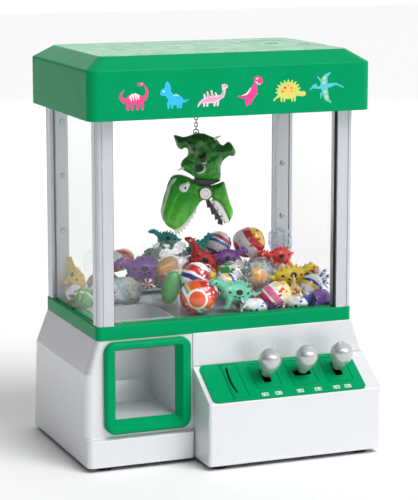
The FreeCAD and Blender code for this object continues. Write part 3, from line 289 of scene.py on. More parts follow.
def wrap(name, size, stops, print_colour, panel=None, rim=None):
    """A printed wrap: colour bands across it and small blots, and an oval panel with a rim if it is given."""
    material, tree, shader = start_material(name)
    axes = object_axes(tree)
    wave = calc(tree, "MULTIPLY", grain(tree, 60, 2), size * 0.25)
    across = calc(tree, "ADD", calc(tree, "MULTIPLY", axes["Z"], 0.5), calc(tree, "ADD", axes["X"], wave))
    ramp = node(tree, "ValToRGB", {"Fac": remap(tree, across, -size, size, 0.0, 1.0)})
    ramp.color_ramp.interpolation = "CONSTANT"
    elements = ramp.color_ramp.elements
    for element, (position, colour) in zip(elements, stops):
        element.position = position
        element.color = colour
    for position, colour in stops[2:]:
        elements.new(position).color = colour
    base = ramp.outputs["Color"]
    cell = node(tree, "TexVoronoi", {"Vector": object_place(tree, (1, 1, 1.7)), "Scale": 2.6 / size,
                                     "Randomness": 0.8}, feature="F1", distance="CHEBYCHEV")
    block = remap(tree, cell.outputs["Distance"], 0.30, 0.31, 1.0, 0.0)
    gate = remap(tree, grain(tree, 0.9 / size, 1), 0.52, 0.54, 0.0, 1.0)
    base = mix_colour(tree, calc(tree, "MULTIPLY", block, gate), base, print_colour)
    if panel:
        # an oval on the side that faces the player, drawn from the local X and Z
        far = calc(tree, "SQRT", calc(tree, "ADD", calc(tree, "POWER", axes["X"], 2.0),
                                      calc(tree, "POWER", axes["Z"], 2.0)))
        front = remap(tree, axes["Y"], -0.0001, 0.0001, 1.0, 0.0)
        for reach, colour in ((0.58, rim), (0.46, panel)):
            within = remap(tree, far, size * reach, size * (reach + 0.02), 1.0, 0.0)
            base = mix_colour(tree, calc(tree, "MULTIPLY", within, front), base, colour)
    feed(tree, shader, {"Base Color": base})
    film_gloss(tree, shader)
    return material


def swirl(name, first, second, arms=6.0):
    """Two colours that turn outwards from the middle, as on a pulled sweet."""
    material, tree, shader = start_material(name)
    axes = object_axes(tree)
    angle = calc(tree, "ARCTAN2", axes["Z"], axes["X"])
    place = node(tree, "TexCoord").outputs["Object"]
    far = node(tree, "VectorMath", {0: place}, operation="LENGTH").outputs["Value"]
    turn = calc(tree, "ADD", calc(tree, "MULTIPLY", angle, arms), calc(tree, "MULTIPLY", far, 420.0))
    bands = remap(tree, calc(tree, "SINE", turn), -0.12, 0.12, 0.0, 1.0)
    feed(tree, shader, {"Base Color": mix_colour(tree, bands, first, second)})
    film_gloss(tree, shader, 0.0003)
    return material


def clear_film(name, tint, veil):
    """Crumpled clear film: see-through, whiter where it folds."""
    material, tree, shader = start_material(name)
    fold = cell_edges(tree, 120.0)
    crease = remap(tree, fold, 0.0, 0.12, 0.32, 0.0)
    facing = node(tree, "LayerWeight", {"Blend": 0.45}).outputs["Facing"]
    alpha = calc(tree, "ADD", calc(tree, "MULTIPLY", facing, 0.36), calc(tree, "ADD", crease, veil))
    held = node(tree, "Math", {0: alpha, 1: 0.0}, operation="ADD", use_clamp=True)
    feed(tree, shader, {
        "Normal": bump(tree, calc(tree, "ADD", fold, grain(tree, 150, 2)), 0.7, 0.0016),
        "Alpha": held.outputs[0], "Base Color": tint, "Roughness": 0.12, "Coat Weight": 1.0})
    return material


def banded_cell(name):
    """A dry cell's wrap: a dark sleeve with a copper end, scuffed."""
    material, tree, shader = start_material(name)
    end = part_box("batteries")[1].x
    copper = remap(tree, object_axes(tree)["X"], end - 0.018, end - 0.0178, 0.0, 1.0)
    base = mix_colour(tree, copper, srgb(30, 32, 36), srgb(184, 112, 52))
    scuffs = remap(tree, grain(tree, 300, 5), 0.6, 0.8, 0.0, 0.4)
    feed(tree, shader, {
        "Base Color": mix_colour(tree, scuffs, base, srgb(150, 150, 150)),
        "Roughness": remap(tree, scuffs, 0.0, 0.4, 0.25, 0.5), "Metallic": 0.6})
    return material


def printed_board(name):
    """Solder mask with a pattern of tracks under it."""
    material, tree, shader = start_material(name)
    tracks = node(tree, "TexBrick", {"Vector": object_place(tree), "Scale": 190.0, "Mortar Size": 0.06,
                                     "Color1": srgb(14, 84, 44), "Color2": srgb(16, 74, 40),
                                     "Mortar": srgb(40, 128, 70)})
    feed(tree, shader, {
        "Base Color": tracks.outputs[0], "Roughness": remap(tree, grain(tree, 150), 0.3, 0.7, 0.25, 0.45),
        "Normal": bump(tree, tracks.outputs[1], 0.3, 0.00008)})
    return material


# ---------------------------------------------------------------- materials
GREEN = srgb(0, 153, 96)
SILVER = srgb(229, 230, 234)
M = {
    "green": plastic("green_gloss", GREEN, rough=0.24, edge=0.0009, grain_depth=0.000012, cloud=0.05,
                     edge_wear_and_highlight=0.3, shine=0.04),
    "silver": plastic("pearl_silver", SILVER, rough=0.36, edge=0.0009, cloud=0.025, metal=0.3,
                      grain_depth=0.000012, edge_wear_and_highlight=0.25, flake=0.06),
    "post": plastic("post_silver", srgb(205, 207, 214), rough=0.3, edge=0.0004, cloud=0.05, metal=0.35,
                    streak=(1, 1, 0.03), grain_depth=0.00001, edge_wear_and_highlight=0.2, flake=0.04),
    "chute": plastic("chute_grey", srgb(208, 211, 214), rough=0.36, cloud=0.04, metal=0.15, shine=0.5,
                     grain_depth=0.00001),
    "floor": plastic("floor_grey", srgb(190, 192, 196), rough=0.35, cloud=0.06, metal=0.2),
    "dark": plastic("dark_moulding", srgb(52, 53, 56), rough=0.5, edge=0.0004, grain_depth=0.00005),
    "black": plastic("black_moulding", srgb(17, 17, 18), rough=0.34, edge=0.0004, grain_depth=0.00003,
                     coat=0.2),
    "acetal": plastic("natural_acetal", srgb(226, 224, 212), rough=0.42, deep=0.15),
    "knob": plastic("pearl_knob", srgb(196, 197, 200), rough=0.2, cloud=0.04, metal=0.45, coat=1.0,
                    grain_depth=0.000008, flake=0.10),
    "tooth": plastic("tooth_white", srgb(240, 236, 234), rough=0.2, cloud=0.03, coat=0.6, deep=0.2),
    "seal_and_shade": rubber("seal_and_shade_rubber", srgb(20, 21, 23)),
    "foot": rubber("foot_rubber", srgb(18, 18, 18)),
    "steel": steel("plated_steel", srgb(178, 180, 184), 0.3),
    "dark_steel": steel("blackened_steel", srgb(44, 44, 46), 0.28),
    "can": steel("motor_can", srgb(196, 197, 200), 0.34, (1, 14, 1)),
    "pivot": steel("pivot_disc", srgb(226, 214, 214), 0.22, (1, 1, 1), 0.12),
    "window": clear_sheet("clear_window", srgb(236, 244, 246), 0.004, 0.5),
    "guard": clear_sheet("clear_guard", srgb(232, 238, 242), 0.06, 0.55),
    "cell": banded_cell("cell_wrap"),
    "board": printed_board("circuit_green"),
}

CAD_LOOKS = {
    "green": ["control_plate", "base_frame", "prize_door_frame", "roof_shell", "roof_hatch", "roof_tray"],
    "silver": ["base_housing", "console_housing"],
    "post": ["panel_retainers", "post_front_left", "post_front_right", "post_rear_left",
             "post_rear_right"],
    "chute": ["prize_chute"],
    "floor": ["cabin_floor"],
    "dark": ["base_plate", "battery_cover", "bridge_frame", "trolley_chassis"],
    "black": ["speaker", "joystick_housings", "coin_chute", "coin_lever", "lever_left", "lever_middle",
              "lever_right", "power_switch", "claw_yoke", "jaw_grip"],
    "acetal": ["bridge_rails", "drive_shaft", "trolley_pinion", "winch_drum"],
    "knob": ["knob_left", "knob_middle", "knob_right"],
    "foot": ["feet"],
    "steel": ["base_screws", "retainer_screws", "hatch_pin"],
    "dark_steel": ["hoist_chain"],
    "can": ["bridge_motor", "trolley_motor", "hoist_motor", "jaw_actuator"],
    "pivot": ["pivot_pin"],
    "window": ["window_front", "window_rear", "window_left", "window_right"],
    "guard": ["chute_guard"],
    "cell": ["batteries"],
    "board": ["circuit_board"],
}


def dress_cad():
    for look, names in CAD_LOOKS.items():
        for name in names:
            piece = NODES[name]
            for slot_index in range(len(piece.material_slots)):
                piece.material_slots[slot_index].material = M[look]


dress_cad()


# ---------------------------------------------------------------- mesh helpers
def mesh_piece(name, verts, faces, material, smooth=True):
    mesh = bpy.data.meshes.new(name)
    mesh.from_pydata([tuple(v) for v in verts], [], faces)
    bm = bmesh.new()
    bm.from_mesh(mesh)
    bmesh.ops.remove_doubles(bm, verts=bm.verts, dist=1e-7)
    bmesh.ops.recalc_face_normals(bm, faces=bm.faces)
    bm.to_mesh(mesh)
    bm.free()
    if smooth:
        mesh.shade_smooth()
    mesh.materials.append(material)
    return link(bpy.data.objects.new(name, mesh))


def bm_piece(name, bm, material, smooth=True):
    """An object made from a bmesh, which is freed."""
    mesh = bpy.data.meshes.new(name)
    bm.to_mesh(mesh)
    bm.free()
    if smooth:
        mesh.shade_smooth()
    mesh.materials.append(material)
    return link(bpy.data.objects.new(name, mesh))


def bake_modifiers(obj):
    """Apply the object's modifiers to its mesh."""
    graph = bpy.context.evaluated_depsgraph_get()
    mesh = bpy.data.meshes.new_from_object(obj.evaluated_get(graph))
    obj.modifiers.clear()
    obj.data = mesh
    return obj


class Forms:
    """Closed forms gathered as plain lists, to be fused into one skin."""

    def __init__(self):
        self.verts = []
        self.faces = []

    def add(self, verts, faces):
        base = len(self.verts)
        self.verts += verts
        self.faces += [tuple(i + base for i in f) for f in faces]


def ring_faces(rings, around):
    """The faces of a closed tube of rings, with both ends capped."""
    faces = []
    for i in range(rings - 1):
        for k in range(around):
            j = (k + 1) % around
            faces.append((i * around + k, i * around + j, (i + 1) * around + j, (i + 1) * around + k))
    faces.append(tuple(range(around))[::-1])
    faces.append(tuple((rings - 1) * around + k for k in range(around)))
    return faces


def unit_ball(rings=9, around=14):
    verts = []
    for i in range(rings):
        a = math.pi * (i + 0.35) / (rings - 0.3)
        for k in range(around):
            b = 2 * math.pi * k / around
            verts.append(Vector((math.sin(a) * math.cos(b), math.sin(a) * math.sin(b), -math.cos(a))))
    return verts, ring_faces(rings, around)


BALL_VERTS, BALL_FACES = unit_ball()
BIG_BALL_VERTS, BIG_BALL_FACES = unit_ball(15, 24)


def ball(forms, centre, radii, turn=None):
    """An ellipsoid added to a set of forms; radii is one number or three."""
    if not hasattr(radii, "__len__"):
        radii = (radii, radii, radii)
    place = Matrix.Translation(Vector(centre))
    if turn is not None:
        place = place @ turn
    place = place @ Matrix.Diagonal((*radii, 1.0))
    big = max(radii) > 4 * MM
    verts = BIG_BALL_VERTS if big else BALL_VERTS
    forms.add([place @ v for v in verts], BIG_BALL_FACES if big else BALL_FACES)


def limb(forms, stations):
    """A tapering limb through (x, y, z, radius) stations."""
    for x, y, z, r in stations:
        ball(forms, (x, y, z), r)
    for first, second in zip(stations, stations[1:]):
        a = Vector(first[:3])
        b = Vector(second[:3])
        if (b - a).length < 1e-9:
            continue
        turn = (b - a).to_track_quat("Z", "Y").to_matrix()
        verts = []
        for centre, r in ((a, first[3]), (b, second[3])):
            for k in range(14):
                angle = 2 * math.pi * k / 14
                verts.append(centre + turn @ Vector((math.cos(angle), math.sin(angle), 0)) * r)
        forms.add(verts, ring_faces(2, 14))


def fused(name, forms, voxel, material, relax=6):
    """One closed skin round overlapping closed forms, relaxed so that the joins flow."""
    mesh = bpy.data.meshes.new(name)
    mesh.from_pydata(forms.verts, [], forms.faces)
    obj = link(bpy.data.objects.new(name, mesh))
    skin = obj.modifiers.new("skin", "REMESH")
    skin.mode = "VOXEL"
    skin.voxel_size = voxel
    soft = obj.modifiers.new("soft", "SMOOTH")
    soft.factor = 0.5
    soft.iterations = relax
    bake_modifiers(obj)
    obj.data.shade_smooth()
    obj.data.materials.clear()
    obj.data.materials.append(material)
    return obj


def oval(cx, cz, rx, rz, lean=0.0, count=28):
    """A flat oval outline."""
    c = math.cos(math.radians(lean))
    s = math.sin(math.radians(lean))
    points = []
    for i in range(count):
        a = 2 * math.pi * i / count
        x = rx * math.cos(a)
        z = rz * math.sin(a)
        points.append((cx + x * c - z * s, cz + x * s + z * c))
    return points


def stroke(stations):
    """Flat outlines of a tapering stroke through (x, z, radius) stations."""
    shapes = []
    for x, z, r in stations:
        shapes.append(oval(x, z, r, r, count=16))
    for (x0, z0, r0), (x1, z1, r1) in zip(stations, stations[1:]):
        long = math.hypot(x1 - x0, z1 - z0)
        nx = -(z1 - z0) / long
        nz = (x1 - x0) / long
        shapes.append([(x0 + nx * r0, z0 + nz * r0), (x0 - nx * r0, z0 - nz * r0),
                       (x1 - nx * r1, z1 - nz * r1), (x1 + nx * r1, z1 + nz * r1)])
    return shapes


def signed_area(points):
    return sum(a[0] * b[1] - b[0] * a[1] for a, b in zip(points, points[1:] + points[:1])) / 2


def flat_union(shapes):
    """The triangles that cover a set of overlapping flat outlines, as (points, triangles)."""
    points = []
    loops = []
    for shape in shapes:
        if signed_area(shape) < 0:
            shape = shape[::-1]
        loops.append(list(range(len(points), len(points) + len(shape))))
        points += [Vector(p) for p in shape]
    verts, _, faces, _, _, sources = delaunay_2d_cdt(points, [], loops, 0, 1e-4)
    return verts, [f for f, source in zip(faces, sources) if source]


def print_plate(name, shapes, thick, put, material, base=0.0):
    """Overlapping outlines made into one thin closed plate; put turns (a, b, height) into a place."""
    verts, faces = flat_union(shapes)
    count = len(verts)
    places = [put(v.x, v.y, base) for v in verts] + [put(v.x, v.y, base + thick) for v in verts]
    solid = [tuple(reversed(f)) for f in faces] + [tuple(i + count for i in f) for f in faces]
    edges = {}
    for f in faces:
        for a, b in zip(f, f[1:] + f[:1]):
            edges[(a, b)] = edges.get((a, b), 0) + 1
    for a, b in edges:
        if (b, a) not in edges:
            solid.append((a, b, b + count, a + count))
    used = sorted({i for f in solid for i in f})
    index = {old: new for new, old in enumerate(used)}
    solid = [tuple(index[i] for i in f) for f in solid]
    return mesh_piece(name, [places[i] for i in used], solid, material, smooth=False)


def smooth_outline(points, rounds=2):
    """Corners cut once or more, so that a given outline flows."""
    for _ in range(rounds):
        cut_points = []
        for a, b in zip(points, points[1:] + points[:1]):
            cut_points.append((a[0] * 0.75 + b[0] * 0.25, a[1] * 0.75 + b[1] * 0.25))
            cut_points.append((a[0] * 0.25 + b[0] * 0.75, a[1] * 0.25 + b[1] * 0.75))
        points = cut_points
    return points


def edge_distance(x, z, outline):
    least = 1e9
    for (ax, az), (bx, bz) in zip(outline, outline[1:] + outline[:1]):
        dx = bx - ax
        dz = bz - az
        t = max(0.0, min(1.0, ((x - ax) * dx + (z - az) * dz) / (dx * dx + dz * dz + 1e-12)))
        least = min(least, math.hypot(x - ax - t * dx, z - az - t * dz))
    return least


def inside(x, z, outline):
    found = False
    for (ax, az), (bx, bz) in zip(outline, outline[1:] + outline[:1]):
        if (az > z) != (bz > z) and x < (bx - ax) * (z - az) / (bz - az) + ax:
            found = not found
    return found


def resample(outline, step):
    points = []
    for (ax, az), (bx, bz) in zip(outline, outline[1:] + outline[:1]):
        count = max(1, round(math.hypot(bx - ax, bz - az) / step))
        points += [(ax + (bx - ax) * i / count, az + (bz - az) * i / count) for i in range(count)]
    return points


def pillow(name, outline, half, rounding, put, material, step=1.0, relief=None, centre=0.0):
    """An outline blown up to a rounded form, half thick each side of its plane at centre.

    relief adds height to each face as relief(a, b, side)."""
    rim = resample(outline, step)
    xs = [p[0] for p in outline]
    zs = [p[1] for p in outline]
    points = list(rim)
    rows = int((max(zs) - min(zs)) / (step * 0.87)) + 1
    for row in range(rows):
        z = min(zs) + row * step * 0.87
        x = min(xs) + (step / 2 if row % 2 else 0)
        while x < max(xs):
            if inside(x, z, outline) and edge_distance(x, z, outline) > step * 0.45:
                points.append((x, z))
            x += step
    loop = list(range(len(rim)))
    if signed_area(rim) < 0:
        loop.reverse()
    flat = [Vector(p) for p in points]
    verts, _, faces, _, _, sources = delaunay_2d_cdt(flat, [], [loop], 0, 1e-5)
    faces = [f for f, source in zip(faces, sources) if source]
    front = []
    back = []
    for v in verts:
        depth = edge_distance(v.x, v.y, outline)
        if depth < 1e-3:
            depth = 0.0
        lift = half * math.sqrt(max(0.0, 1 - (1 - min(depth / rounding, 1.0)) ** 2))
        more = [0.0, 0.0]
        if relief and depth > 0:
            fade = min(1.0, depth / 1.5)
            more = [fade * relief(v.x, v.y, side) for side in (-1, 1)]
        front.append(put(v.x, centre - lift - more[0], v.y))
        back.append(put(v.x, centre + lift + more[1], v.y))
    count = len(verts)
    solid = list(faces) + [tuple(i + count for i in reversed(f)) for f in faces]
    return mesh_piece(name, front + back, solid, material)


def on_claw(u, w, z):
    return PIVOT + (CLAW_U * (u - PIVOT_U) + CLAW_W * w + Z_AXIS * (z - PIVOT_Z)) * MM


def claw_local(place):
    """The (u, w, z) in mm of a place in the scene."""
    d = (place - PIVOT) / MM
    return d.dot(CLAW_U) + PIVOT_U, d.dot(CLAW_W), d.z + PIVOT_Z


def paint_spots(obj, value_at):
    """Store on each vertex how far inside a painted spot it is: 0.5 on the spot's edge."""
    layer = obj.data.attributes.new("spot", "FLOAT", "POINT")
    layer.data.foreach_set("value", [value_at(v.co) for v in obj.data.vertices])


def spot_value(a, b, spots):
    """0.5 on the edge of the nearest oval spot (a, b, ra, rb, lean), 1 at its middle."""
    best = 0.0
    for ca, cb, ra, rb, lean in spots:
        c = math.cos(math.radians(lean))
        s = math.sin(math.radians(lean))
        da = (a - ca) * c + (b - cb) * s
        db = -(a - ca) * s + (b - cb) * c
        best = max(best, 1.0 - 0.5 * math.hypot(da / ra, db / rb))
    return max(0.0, best)


def settle(obj, body, slot_name, *replaced):
    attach(obj, body)
    if replaced:
        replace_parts(obj, *replaced)
    return obj


# ---------------------------------------------------------------- claw
CLAW_TURN = Matrix.Rotation(math.atan2(CLAW_U.y, CLAW_U.x), 4, "Z")
DARK_GREEN = srgb(24, 116, 18)
MID_GREEN = srgb(40, 160, 28)
LIME = srgb(96, 204, 40)

BODY_OUTLINE = [(-21.6, 287.4), (-19.6, 281.0), (-18.2, 276.6), (-16.0, 273.4), (-12.6, 273.0),
                (-10.4, 275.0), (-8.0, 273.6), (-7.6, 270.4), (-8.2, 267.2), (-10.6, 265.8),
                (-13.6, 262.6), (-14.8, 258.4), (-13.6, 255.2), (-11.4, 253.4), (-8.6, 252.2),
                (-4.0, 249.0), (1.0, 246.0), (6.0, 244.4), (16.0, 244.0), (21.4, 244.6), (23.2, 248.4),
                (22.8, 254.0), (23.0, 259.0), (25.4, 263.4), (29.0, 266.0), (31.0, 267.6), (34.6, 266.2),
                (36.8, 269.8), (36.0, 273.6), (33.4, 278.0), (30.6, 281.0), (27.4, 280.0), (25.0, 277.0),
                (22.0, 278.6), (20.4, 281.6), (17.6, 284.0), (13.4, 285.8), (8.0, 288.2), (3.0, 288.6),
                (-2.0, 287.8), (-7.0, 286.2), (-12.0, 284.8), (-16.0, 286.2)]
BODY_SPOTS = ((-2.4, 274.9, 2.2, 1.6, 0), (6.3, 267.7, 3.4, 4.4, -14), (2.3, 258.0, 4.0, 3.6, 24),
              (-6.9, 281.4, 1.7, 1.2, 20))


def claw_cover():
    """The body's cover: a flattened little dragon with two stubby limbs and painted ovals."""
    outline = smooth_outline(BODY_OUTLINE)

    def relief(u, z, side):
        ridge = 1.3 * math.exp(-((z - 263 - 0.55 * (u - 14)) / 2.0) ** 2) if u > 8 else 0.0
        fold = 1.0 * math.exp(-((u - 14.5 + 0.4 * (z - 270)) / 1.6) ** 2)
        belly = 2.0 * math.exp(-((u - 4) / 8) ** 2 - ((z - 262) / 10) ** 2)
        limb_crease = -1.3 * math.exp(-((u - 23.0 + 0.3 * (z - 270)) / 1.2) ** 2) if z > 262 else 0.0
        chin = -1.4 * math.exp(-((z - 264.6 + 0.2 * (u + 10)) / 1.1) ** 2) if u < 0 else 0.0
        lump = 1.9 * noise.noise(Vector((u * 0.20, z * 0.20, side * 3.0)))
        fine = 0.7 * noise.noise(Vector((u * 0.55, z * 0.55, side * 5.0)))
        dent = -1.4 * math.exp(-((u + 6) / 2.4) ** 2 - ((z - 268) / 4.0) ** 2)
        return ridge + fold + belly + limb_crease + chin + lump + fine + dent

    skin = claw_skin("claw_body_green", DARK_GREEN, MID_GREEN, PIVOT.z + 0.014, PIVOT.z + 0.046)
    cover = pillow("claw_cover", outline, 9.8, 8.5, on_claw, skin, 0.65, relief)
    paint_spots(cover, lambda co: spot_value(claw_local(co)[0], claw_local(co)[2], BODY_SPOTS))
    return settle(cover, "claw", "claw_green", "claw_body")


def beads(name, places, voxel, material, body, slot_name, relax=3):
    """A small fused piece from (place, radius) beads."""
    forms = Forms()
    for place, radius in places:
        ball(forms, place, radius * MM)
    return settle(fused(name, forms, voxel * MM, material, relax), body, slot_name)


def bead_ring(u, w, z, half_u, half_z, radius, count):
    """Bead places round an upright oval on the claw's face."""
    ring = []
    for k in range(count):
        a = 2 * math.pi * k / count
        ring.append((on_claw(u + half_u * math.cos(a), w, z + half_z * math.sin(a)), radius))
    return ring


def claw_spikes():
    """Two small bent spikes, each as (u, w, z, length, lean) from its root."""
    spikes = ((17.4, -4.0, 283.6, 6.4, 38), (-12.0, -6.0, 257.0, 5.6, 218))
    for i, (u, w, z, length, lean) in enumerate(spikes):
        c = math.cos(math.radians(lean))
        s = math.sin(math.radians(lean))
        places = []
        for k in range(9):
            t = k / 8
            bend = 1.6 * t * t
            place = on_claw(u + c * length * t + s * bend, w, z + s * length * t - c * bend)
            places.append((place, 1.5 * (1 - 0.70 * t)))
        beads("claw_spike_%d" % (i + 1), places, 0.32, M["tooth"], "claw", "tooth_white")


def claw_fittings():
    """The ring's eyelet, two small spikes, pale rims beside the big spots and the pin's collars and rings."""
    loop = []
    for i in range(15):
        a = math.radians(-10 + 200 * i / 14)
        loop.append((on_claw(1.1 * math.cos(a), 2.2 * math.cos(a), 287.4 + 2.0 * math.sin(a)), 0.62))
    beads("claw_eyelet", loop, 0.30, M["dark_steel"], "claw", "dark_steel")
    claw_spikes()
    rims = ((2.9, 258.2, 5.2, 5.0, -120, 150, 0.8), (7.0, 267.6, 4.6, 5.6, -110, 60, 0.55))
    for i, (u, z, ru, rz, start, sweep, thick) in enumerate(rims):
        places = []
        for k in range(15):
            a = math.radians(start + sweep * k / 14)
            lift = 11.9 + 1.0 * math.exp(-((u - 5) / 9) ** 2)
            places.append((on_claw(u + ru * math.cos(a), -lift, z + rz * math.sin(a)),
                           thick * math.sin(math.pi * (k + 0.8) / 15.6) + 0.15))
        beads("claw_rim_%d" % (i + 1), places, 0.3, M["tooth"], "claw", "tooth_white")
    for sign, side in ((-1, "front"), (1, "back")):
        collar = bead_ring(PIVOT_U, sign * 12.9, PIVOT_Z, 5.5, 5.5, 0.62, 40)
        beads("pivot_collar_" + side, collar, 0.3, M["black"], "claw", "dark_steel")
        ring = bead_ring(PIVOT_U, sign * 14.0, PIVOT_Z, 2.9, 2.9, 0.38, 30)
        beads("pivot_ring_" + side, ring, 0.2, M["pivot"], "claw", "steel")


UPPER_BACK = [(11.2, 239.6), (8.0, 241.0), (3.9, 241.2), (-1.0, 244.0), (-5.9, 246.6), (-12.1, 249.0),
              (-18.6, 249.2), (-23.0, 246.6), (-25.6, 241.4), (-27.6, 235.4), (-29.8, 227.4),
              (-32.0, 219.6), (-32.4, 214.0), (-31.0, 208.8), (-28.6, 204.6), (-25.6, 201.6),
              (-22.4, 200.0)]
UPPER_MOUTH = [(12.4, 228.2), (8.6, 226.6), (4.4, 225.8), (1.8, 223.4), (-0.4, 220.4), (-2.2, 217.4),
               (-4.4, 214.4), (-6.4, 211.6), (-8.2, 209.2), (-10.0, 207.2), (-11.8, 205.4),
               (-13.6, 203.9), (-15.4, 202.6), (-17.0, 201.6), (-18.6, 200.8), (-20.2, 200.2),
               (-21.8, 199.9)]


def along(points, t):
    """The point a share t along a list of stations, on a smooth curve through them."""
    x = t * (len(points) - 1)
    i = min(int(x), len(points) - 2)
    f = x - i
    p0 = points[max(i - 1, 0)]
    p1 = points[i]
    p2 = points[i + 1]
    p3 = points[min(i + 2, len(points) - 1)]
    return tuple(0.5 * (2 * b + (c - a) * f + (2 * a - 5 * b + 4 * c - d) * f * f
                        + (3 * b - a - 3 * c + d) * f ** 3) for a, b, c, d in zip(p0, p1, p2, p3))


def snout_place(t, s, inner, wall=2.1):
    """A place on the upper jaw: t from hinge to nose, s from cheek (-1) over the back to cheek (1)."""
    back = along(UPPER_BACK, t)
    mouth = along(UPPER_MOUTH, t)
    a = s * math.pi / 2
    tip = math.sqrt(max(0.0, 1 - max(0.0, (t - 0.60) / 0.40) ** 2.4))
    wide = 11.4 * (0.30 + 0.70 * tip) + 1.0 * math.exp(-((t - 0.24) / 0.10) ** 2)
    rise = abs(math.cos(a)) ** 0.62
    side = math.copysign(abs(math.sin(a)) ** 0.50, a)
    brow = 1.5 * math.exp(-((t - 0.36) / 0.06) ** 2 - ((abs(s) - 0.46) / 0.09) ** 2)
    crest = 1.0 * math.exp(-(s / 0.13) ** 2) * math.sin(math.pi * min(1, t * 1.05))
    groove = -0.35 * math.exp(-((abs(s) - 0.45) / 0.09) ** 2) * min(1.0, t * 3) * (1 - t * 0.6)
    nose = 1.3 * math.exp(-((t - 0.80) / 0.05) ** 2 - ((abs(s) - 0.52) / 0.12) ** 2)
    cheek = 0.8 * math.exp(-((abs(s) - 0.86) / 0.07) ** 2) * min(1.0, t * 2)
    lump = 0.5 * noise.noise(Vector((t * 14, s * 5, 2.0)))
    grow = brow + crest + groove + nose + cheek + lump
    if inner:
        grow = -wall - 1.3
    u = mouth[0] + (back[0] - mouth[0]) * rise
    z = mouth[1] + (back[1] - mouth[1]) * rise
    out = (back[0] - mouth[0], back[1] - mouth[1])
    long = math.hypot(*out) or 1.0
    share = abs(math.cos(a))
    u += out[0] / long * grow * share
    z += out[1] / long * grow * share
    w = side * wide
    if side:
        w += math.copysign(grow * (1 - share), side)
    return u, w, z


def jaw_ribs(forms):
    """Ribs inside the wall, where the back turns down into the cheeks."""
    for s in (0.40, 0.46, 0.51, 0.56, 0.61, 0.66):
        for sign in (-1, 1):
            rib = []
            for i in range(40):
                t = 0.18 + 0.68 * i / 39
                outer = snout_place(t, sign * s, False)
                under = snout_place(t, sign * s, True)
                middle = [(a + b) / 2 for a, b in zip(outer, under)]
                rib.append((*on_claw(*middle), 1.15 * MM))
            limb(forms, rib)


def cheek_plates(forms):
    """Plates that reach from the cheeks to the pivot."""
    for sign in (-1, 1):
        outline = [(-6.0, 244.0), (-6.0, 217.0), (1.0, 223.4)]
        for i in range(13):
            a = math.radians(-110 + 220 * i / 12)
            outline.append((PIVOT_U + 6.9 * math.cos(a), PIVOT_Z + 6.9 * math.sin(a)))
        outline += [(2.0, 241.2)]
        plate = [on_claw(u, w * sign, z) for w in (9.1, 11.2) for u, z in outline]
        forms.add(plate, ring_faces(2, len(outline)))


def upper_jaw_shell():
    """A hollow snout: arches from one cheek over the back to the other, open at the mouth."""
    ribs = 74
    steps = 52
    open_until = 0.16
    verts = []
    faces = []
    for inner in (False, True):
        for i in range(ribs + 1):
            t = open_until + (1 - open_until) * i / ribs
            for k in range(steps + 1):
                verts.append(on_claw(*snout_place(t, -1 + 2 * k / steps, inner)))
    row = steps + 1
    layer = row * (ribs + 1)
    for i in range(ribs):
        for k in range(steps):
            a = i * row + k
            faces.append((a, a + 1, a + row + 1, a + row))
            faces.append(tuple(v + layer for v in (a + row, a + row + 1, a + 1, a)))
    for i in range(ribs):
        for k in (0, steps):
            a = i * row + k
            faces.append((a, a + row, a + row + layer, a + layer))
    for i in (0, ribs):
        for k in range(steps):
            a = i * row + k
            faces.append((a, a + 1, a + 1 + layer, a + layer))
    forms = Forms()
    forms.add(verts, faces)
    jaw_ribs(forms)
    cheek_plates(forms)
    skin = claw_skin("upper_jaw_green", MID_GREEN, LIME, PIVOT.z - 0.036, PIVOT.z + 0.004)
    shell = fused("upper_jaw_shell", forms, 0.5 * MM, skin, 4)
    paint_spots(shell, lambda co: 0.0)
    return settle(shell, "upper_jaw", "claw_green", "upper_jaw")


def painted_jaw_highlight(sign, side):
    """A painted highlight: the long pale streak of reflected light beside the crest, as a thin inlaid ribbon
    that follows the snout.
    """
    places = []
    for k in range(64):
        t = 0.38 + 0.44 * k / 63
        width = 0.27 * math.sin(math.pi * (k + 2) / 67) ** 0.6 * (0.8 + 0.3 * math.sin(k * 0.31))
        for j in range(9):
            s = sign * (0.27 + width * (j / 8 - 0.5) + 0.02 * math.sin(k * 0.21))
            u, w, z = snout_place(t, s, False)
            places.append((on_claw(u, w, z), 0.5))
    beads("painted_jaw_highlight_" + side, places, 0.35, M["sheen"], "upper_jaw", "claw_green", 5)


def upper_teeth(sign, side):
    """One side's row of pointed teeth, that grow towards the nose."""
    count = 8
    first = 0.27
    row = 0.70
    points = ((0.0, 3.2), (0.42, 6.4), (0.66, 6.2))
    outline = []
    inner = []
    for i in range(count):
        for share, reach in points:
            t = first + row * (i + share) / count
            here = Vector(along(UPPER_MOUTH, t))
            ahead = Vector(along(UPPER_MOUTH, t + 0.01)) - here
            away = Vector((-ahead.y, ahead.x)).normalized()
            grown = 0.40 + 0.70 * (i + share) / count
            outline.append(tuple(here + away * reach * grown))
        inner.append(tuple(here - away * 2.6))
    outline += inner[::-1]
    teeth = pillow("upper_teeth_" + side, smooth_outline(outline, 1), 1.1, 1.1, on_claw, M["tooth"],
                   0.55, None, sign * 10.3)
    replaced = ("upper_teeth",) if side == "front" else ()
    settle(teeth, "upper_jaw", "tooth_white", *replaced)


